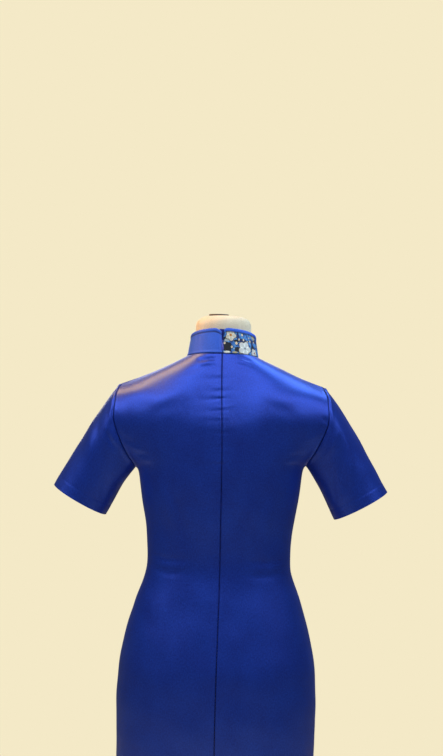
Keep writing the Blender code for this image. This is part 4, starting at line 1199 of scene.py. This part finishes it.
# %% Linen
def linen_finish():
    linen = Finish("unbleached_linen")
    place = linen.node("ShaderNodeTexCoord", output=2)
    warp, weft = (linen.node("ShaderNodeTexWave", {"wave_type": "BANDS", "bands_direction": axis},
                             {"Vector": place, "Scale": 560.0, "Distortion": 2.2, "Detail": 2.0,
                              "Detail Scale": 1.5}) for axis in "XY")
    slubs = linen.noise(linen.stretched(place, (160, 1500, 1)), 1.0, 2.0)
    stains = linen.noise(place, 30.0, 3.0)
    tone = warp * 0.22 + weft * 0.22 + slubs * 0.26 + stains * 0.30
    colour = linen.node("ShaderNodeValToRGB", {"stops": [(0.25, srgb(198, 178, 150)),
                                                         (0.72, srgb(236, 224, 204))]}, {0: tone})
    rough = linen.bump(warp * 0.4 + weft * 0.4 + slubs * 0.3, 0.00018, 0.6)
    linen.feed(base_color=colour, roughness=0.82, normal=rough, specular_ior_level=0.25,
               sheen_weight=0.15, sheen_roughness=0.5)
    return linen


linen = linen_finish()

# %% Zip and stand finishes
def zip_cloth_finish():
    cloth = Finish("zip_tape_twill")
    place = cloth.node("ShaderNodeTexCoord", output=2)
    twill = cloth.node("ShaderNodeTexWave", {"wave_type": "BANDS", "bands_direction": "DIAGONAL"},
                       {"Vector": cloth.stretched(place, (1800, 1800, 1)), "Scale": 0.6, "Distortion": 0.6})
    colour = cloth.mix(twill, srgb(22, 28, 104), srgb(40, 50, 146))
    cloth.feed(base_color=colour, roughness=0.72, normal=cloth.bump(twill, 0.00012, 0.6),
               specular_ior_level=0.3)
    return cloth


def brushed_finish(name, base, bright, roughness, grain):
    """Bare metal with fine scratches along one direction."""
    metal = Finish(name)
    place = metal.node("ShaderNodeTexCoord", output=3)
    brushed = metal.noise(metal.stretched(place, grain), 1.0, 3.0)
    colour = metal.mix(brushed * 0.3, metal.mix(brushed, base, bright), bright)
    metal.feed(base_color=colour, roughness=roughness + brushed * 0.14, metallic=1.0,
               normal=metal.bump(brushed, 0.00003, 0.5))
    return metal


def enamel_finish():
    """Glossy dark blue enamel, lighter and partly metallic on its sharp edges."""
    enamel = Finish("dark_blue_enamel")
    place = enamel.node("ShaderNodeTexCoord", output=3)
    orange_peel = enamel.noise(place, 900.0, 2.0)
    # sharp convex edges, found from pointiness, take a lighter, partly metallic colour
    sharp_edges = ((enamel.node("ShaderNodeNewGeometry", output=7) - 0.54) * 14.0 + orange_peel * 0.4 - 0.2)
    sharp_edges = sharp_edges.math("MAXIMUM", 0.0).math("MINIMUM", 1.0)
    colour = enamel.mix(sharp_edges, enamel.mix(orange_peel, srgb(60, 66, 176), srgb(96, 104, 222)),
                        srgb(150, 160, 214))
    enamel.feed(base_color=colour, roughness=0.16 + orange_peel * 0.10, metallic=sharp_edges * 0.7,
                normal=enamel.bump(orange_peel, 0.00004, 0.5), coat_weight=0.5, coat_roughness=0.12)
    return enamel


def painted_finish(name, deep, clear, peel_size, roughness):
    """Sprayed paint: an even coat with a fine orange peel and a trace of dust."""
    paint = Finish(name)
    place = paint.node("ShaderNodeTexCoord", output=3)
    peel = paint.noise(place, peel_size, 2.0)
    dust = paint.noise(place, 24.0, 4.0)
    colour = paint.node("ShaderNodeValToRGB", {"stops": [(0.3, deep), (0.7, clear)]},
                        {0: dust * 0.7 + peel * 0.3})
    paint.feed(base_color=colour, roughness=roughness + dust * 0.14, normal=paint.bump(peel, 0.00015, 0.4))
    return paint


zip_cloth = zip_cloth_finish()
slider_enamel = enamel_finish()
pole_steel = brushed_finish("brushed_steel", srgb(150, 150, 152), srgb(190, 190, 192), 0.28, (900, 900, 14))
powder = painted_finish("black_powder_coat", srgb(40, 40, 42), srgb(58, 58, 60), 1400.0, 0.44)
brown_paint = painted_finish("dark_brown_paint", srgb(72, 56, 46), srgb(98, 78, 64), 1100.0, 0.36)

# %% [markdown]
# ## Dressing the frame
# Each finished piece takes its finish, stands for its CAD node and rides on the body that node belongs
# to. The area and triangle count of each cloth piece are printed.

# %% Assign, ride, replace
def dress_up(piece, finish, node, body):
    piece.data.materials.clear()
    piece.data.materials.append(finish.material)
    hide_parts(node)
    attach(piece, body)


BODY = "dress_and_form"
for piece, node in ((back_left, "back_left"), (back_right, "back_right"), (front, "front"),
                    (sleeve_left, "sleeve_left"), (sleeve_right, "sleeve_right")):
    dress_up(piece, blue_satin, node, BODY)
for piece, node in ((collar_left, "collar_left"), (binding_left, "binding_left"),
                    (binding_right, "binding_right")):
    dress_up(piece, collar_satin_painted_lighter, node, BODY)
dress_up(collar_right, figured, "collar_right", BODY)
dress_up(zip_tape, zip_cloth, "zip_tape", BODY)
dress_up(slider, slider_enamel, "zip_slider", BODY)
dress_up(pull, slider_enamel, "zip_pull", "pull_tab")
dress_up(form, linen, "form_torso", BODY)
dress_up(neck_plate, brown_paint, "neck_plate", BODY)
dress_up(pole, pole_steel, "pole", BODY)
dress_up(base, powder, "base", BODY)


def cloth_area(piece):
    return sum(face.area for face in piece.data.polygons) / 2


for name, piece in cloth_pieces.items():
    print("%s: %.4f square metres, %d triangles" % (name, cloth_area(piece), 2 * len(piece.data.polygons)))

# %% [markdown]
# ## What each piece was cut to
# The area printed above for each sheet stands for its pattern piece, because no piece of a dress is a
# rectangle. Seam allowances and turned-in edges are extra.

# %% [markdown]
# ## Floor, light and camera
# The studio is a pale room: a backdrop in one even cream tone, a pale floor, three soft lights high
# above the back, a warm one and a cool one high on the far side of the shoulders, a weak fill for the
# front, and three narrow beams for the neck and the collar. Satin is dark where it faces away from
# the lights above the back, which is what models the waist and the sleeves.

# %% Floor and surroundings
CREAM = srgb(244, 233, 199)
bpy.ops.object.select_all(action="DESELECT")
bpy.ops.mesh.primitive_circle_add(vertices=96, radius=1.95, fill_type="NGON", location=(0, 0, -0.0005))
floor = bpy.context.object
floor.name = "studio_floor"
floor_finish = Finish("pale_floor")
floor_finish.feed(base_color=CREAM, roughness=0.9, specular_ior_level=0.1)
floor.data.materials.append(floor_finish.material)

world = bpy.data.worlds.new("cream_studio")
bpy.context.scene.world = world
world.use_nodes = True
air = world.node_tree
seen, felt = air.nodes["Background"], air.nodes.new("ShaderNodeBackground")
seen.inputs["Color"].default_value, seen.inputs["Strength"].default_value = CREAM, 1.0
felt.inputs["Color"].default_value, felt.inputs["Strength"].default_value = srgb(236, 230, 222), 0.095
path, either = air.nodes.new("ShaderNodeLightPath"), air.nodes.new("ShaderNodeMixShader")
air.links.new(path.outputs["Is Camera Ray"], either.inputs[0])
air.links.new(felt.outputs[0], either.inputs[1])
air.links.new(seen.outputs[0], either.inputs[2])
air.links.new(either.outputs[0], air.nodes["World Output"].inputs["Surface"])

# %% Soft lights
def place_lamp(kind, name, place, aim, watts, colour):
    """A lamp at `place` that points at `aim`."""
    bpy.ops.object.light_add(type=kind, location=place)
    lamp = bpy.context.object
    lamp.name = name
    lamp.data.energy, lamp.data.color = watts, colour
    reach = np.array(aim) - np.array(place)
    lamp.rotation_euler = (math.atan2(math.hypot(reach[0], reach[1]), -reach[2]), 0,
                           math.atan2(reach[1], reach[0]) - math.pi / 2)
    return lamp.data


for name, place, aim, size, watts, colour in (
        ("above", (0.05, 1.30, 3.05), (0, 0.10, 1.3), (3.0, 1.5), 35, (0.84, 0.94, 1.0)),
        ("left_above", (1.75, 1.05, 2.65), (0.12, 0.10, 1.34), (1.1, 0.8), 13, (0.88, 0.95, 1.0)),
        ("right_above", (-1.75, 1.05, 2.65), (-0.12, 0.10, 1.34), (1.1, 0.8), 11, (0.82, 0.93, 1.0)),
        ("warm_behind", (1.20, -0.62, 3.00), (0.10, 0.02, 1.40), (0.9, 0.4), 38, (1.0, 0.47, 0.05)),
        ("cool_behind", (-0.95, -0.80, 3.00), (-0.12, 0.02, 1.40), (1.1, 0.7), 18, (0.50, 0.84, 1.0)),
        ("front_fill", (0.3, -2.8, 1.9), (0, 0, 1.0), (1.8, 1.8), 26, (1.0, 0.97, 0.94))):
    lamp = place_lamp("AREA", name, place, aim, watts, colour)
    lamp.shape, lamp.size, lamp.size_y = "RECTANGLE", *size

# narrow, soft-edged beams for the neck and the collar
for name, place, aim, cone, watts, colour in (
        ("warm_neck", (1.7, 0.10, 1.62), (0.045, 0, 1.498), 5.5, 200, (1.0, 0.47, 0.12)),
        ("cool_neck", (-1.7, 0.10, 1.75), (-0.045, 0, 1.500), 5.5, 170, (0.68, 0.89, 1.0)),
        ("collar", (-0.25, 2.0, 2.25), (0, 0.05, 1.412), 6.0, 27, (0.90, 0.96, 1.0))):
    lamp = place_lamp("SPOT", name, place, aim, watts, colour)
    lamp.spot_size, lamp.spot_blend, lamp.shadow_soft_size = math.radians(cone), 0.8, 0.12

# %% Camera
DISTANCE, EYE_HEIGHT, YAW, ROLL = 2.2, 1.375, math.radians(1.3), math.radians(-1.2)
HALF_VIEW = 0.6993  # half the height seen at DISTANCE, in metres
CAMERA_X = 0.0020
bpy.ops.object.camera_add(
    location=(CAMERA_X - math.sin(YAW) * DISTANCE, math.cos(YAW) * DISTANCE, EYE_HEIGHT),
    rotation=(math.pi / 2, ROLL, math.pi + YAW))
camera = bpy.context.object
camera.name = "studio_camera"
camera.data.sensor_fit, camera.data.sensor_width = "AUTO", 36.0
camera.data.lens = 18.0 * DISTANCE / HALF_VIEW
camera.data.clip_start, camera.data.clip_end = 0.05, 50.0
bpy.context.scene.camera = camera
bpy.context.scene.view_settings.view_transform = "Standard"
print("lens %.1f mm" % camera.data.lens)
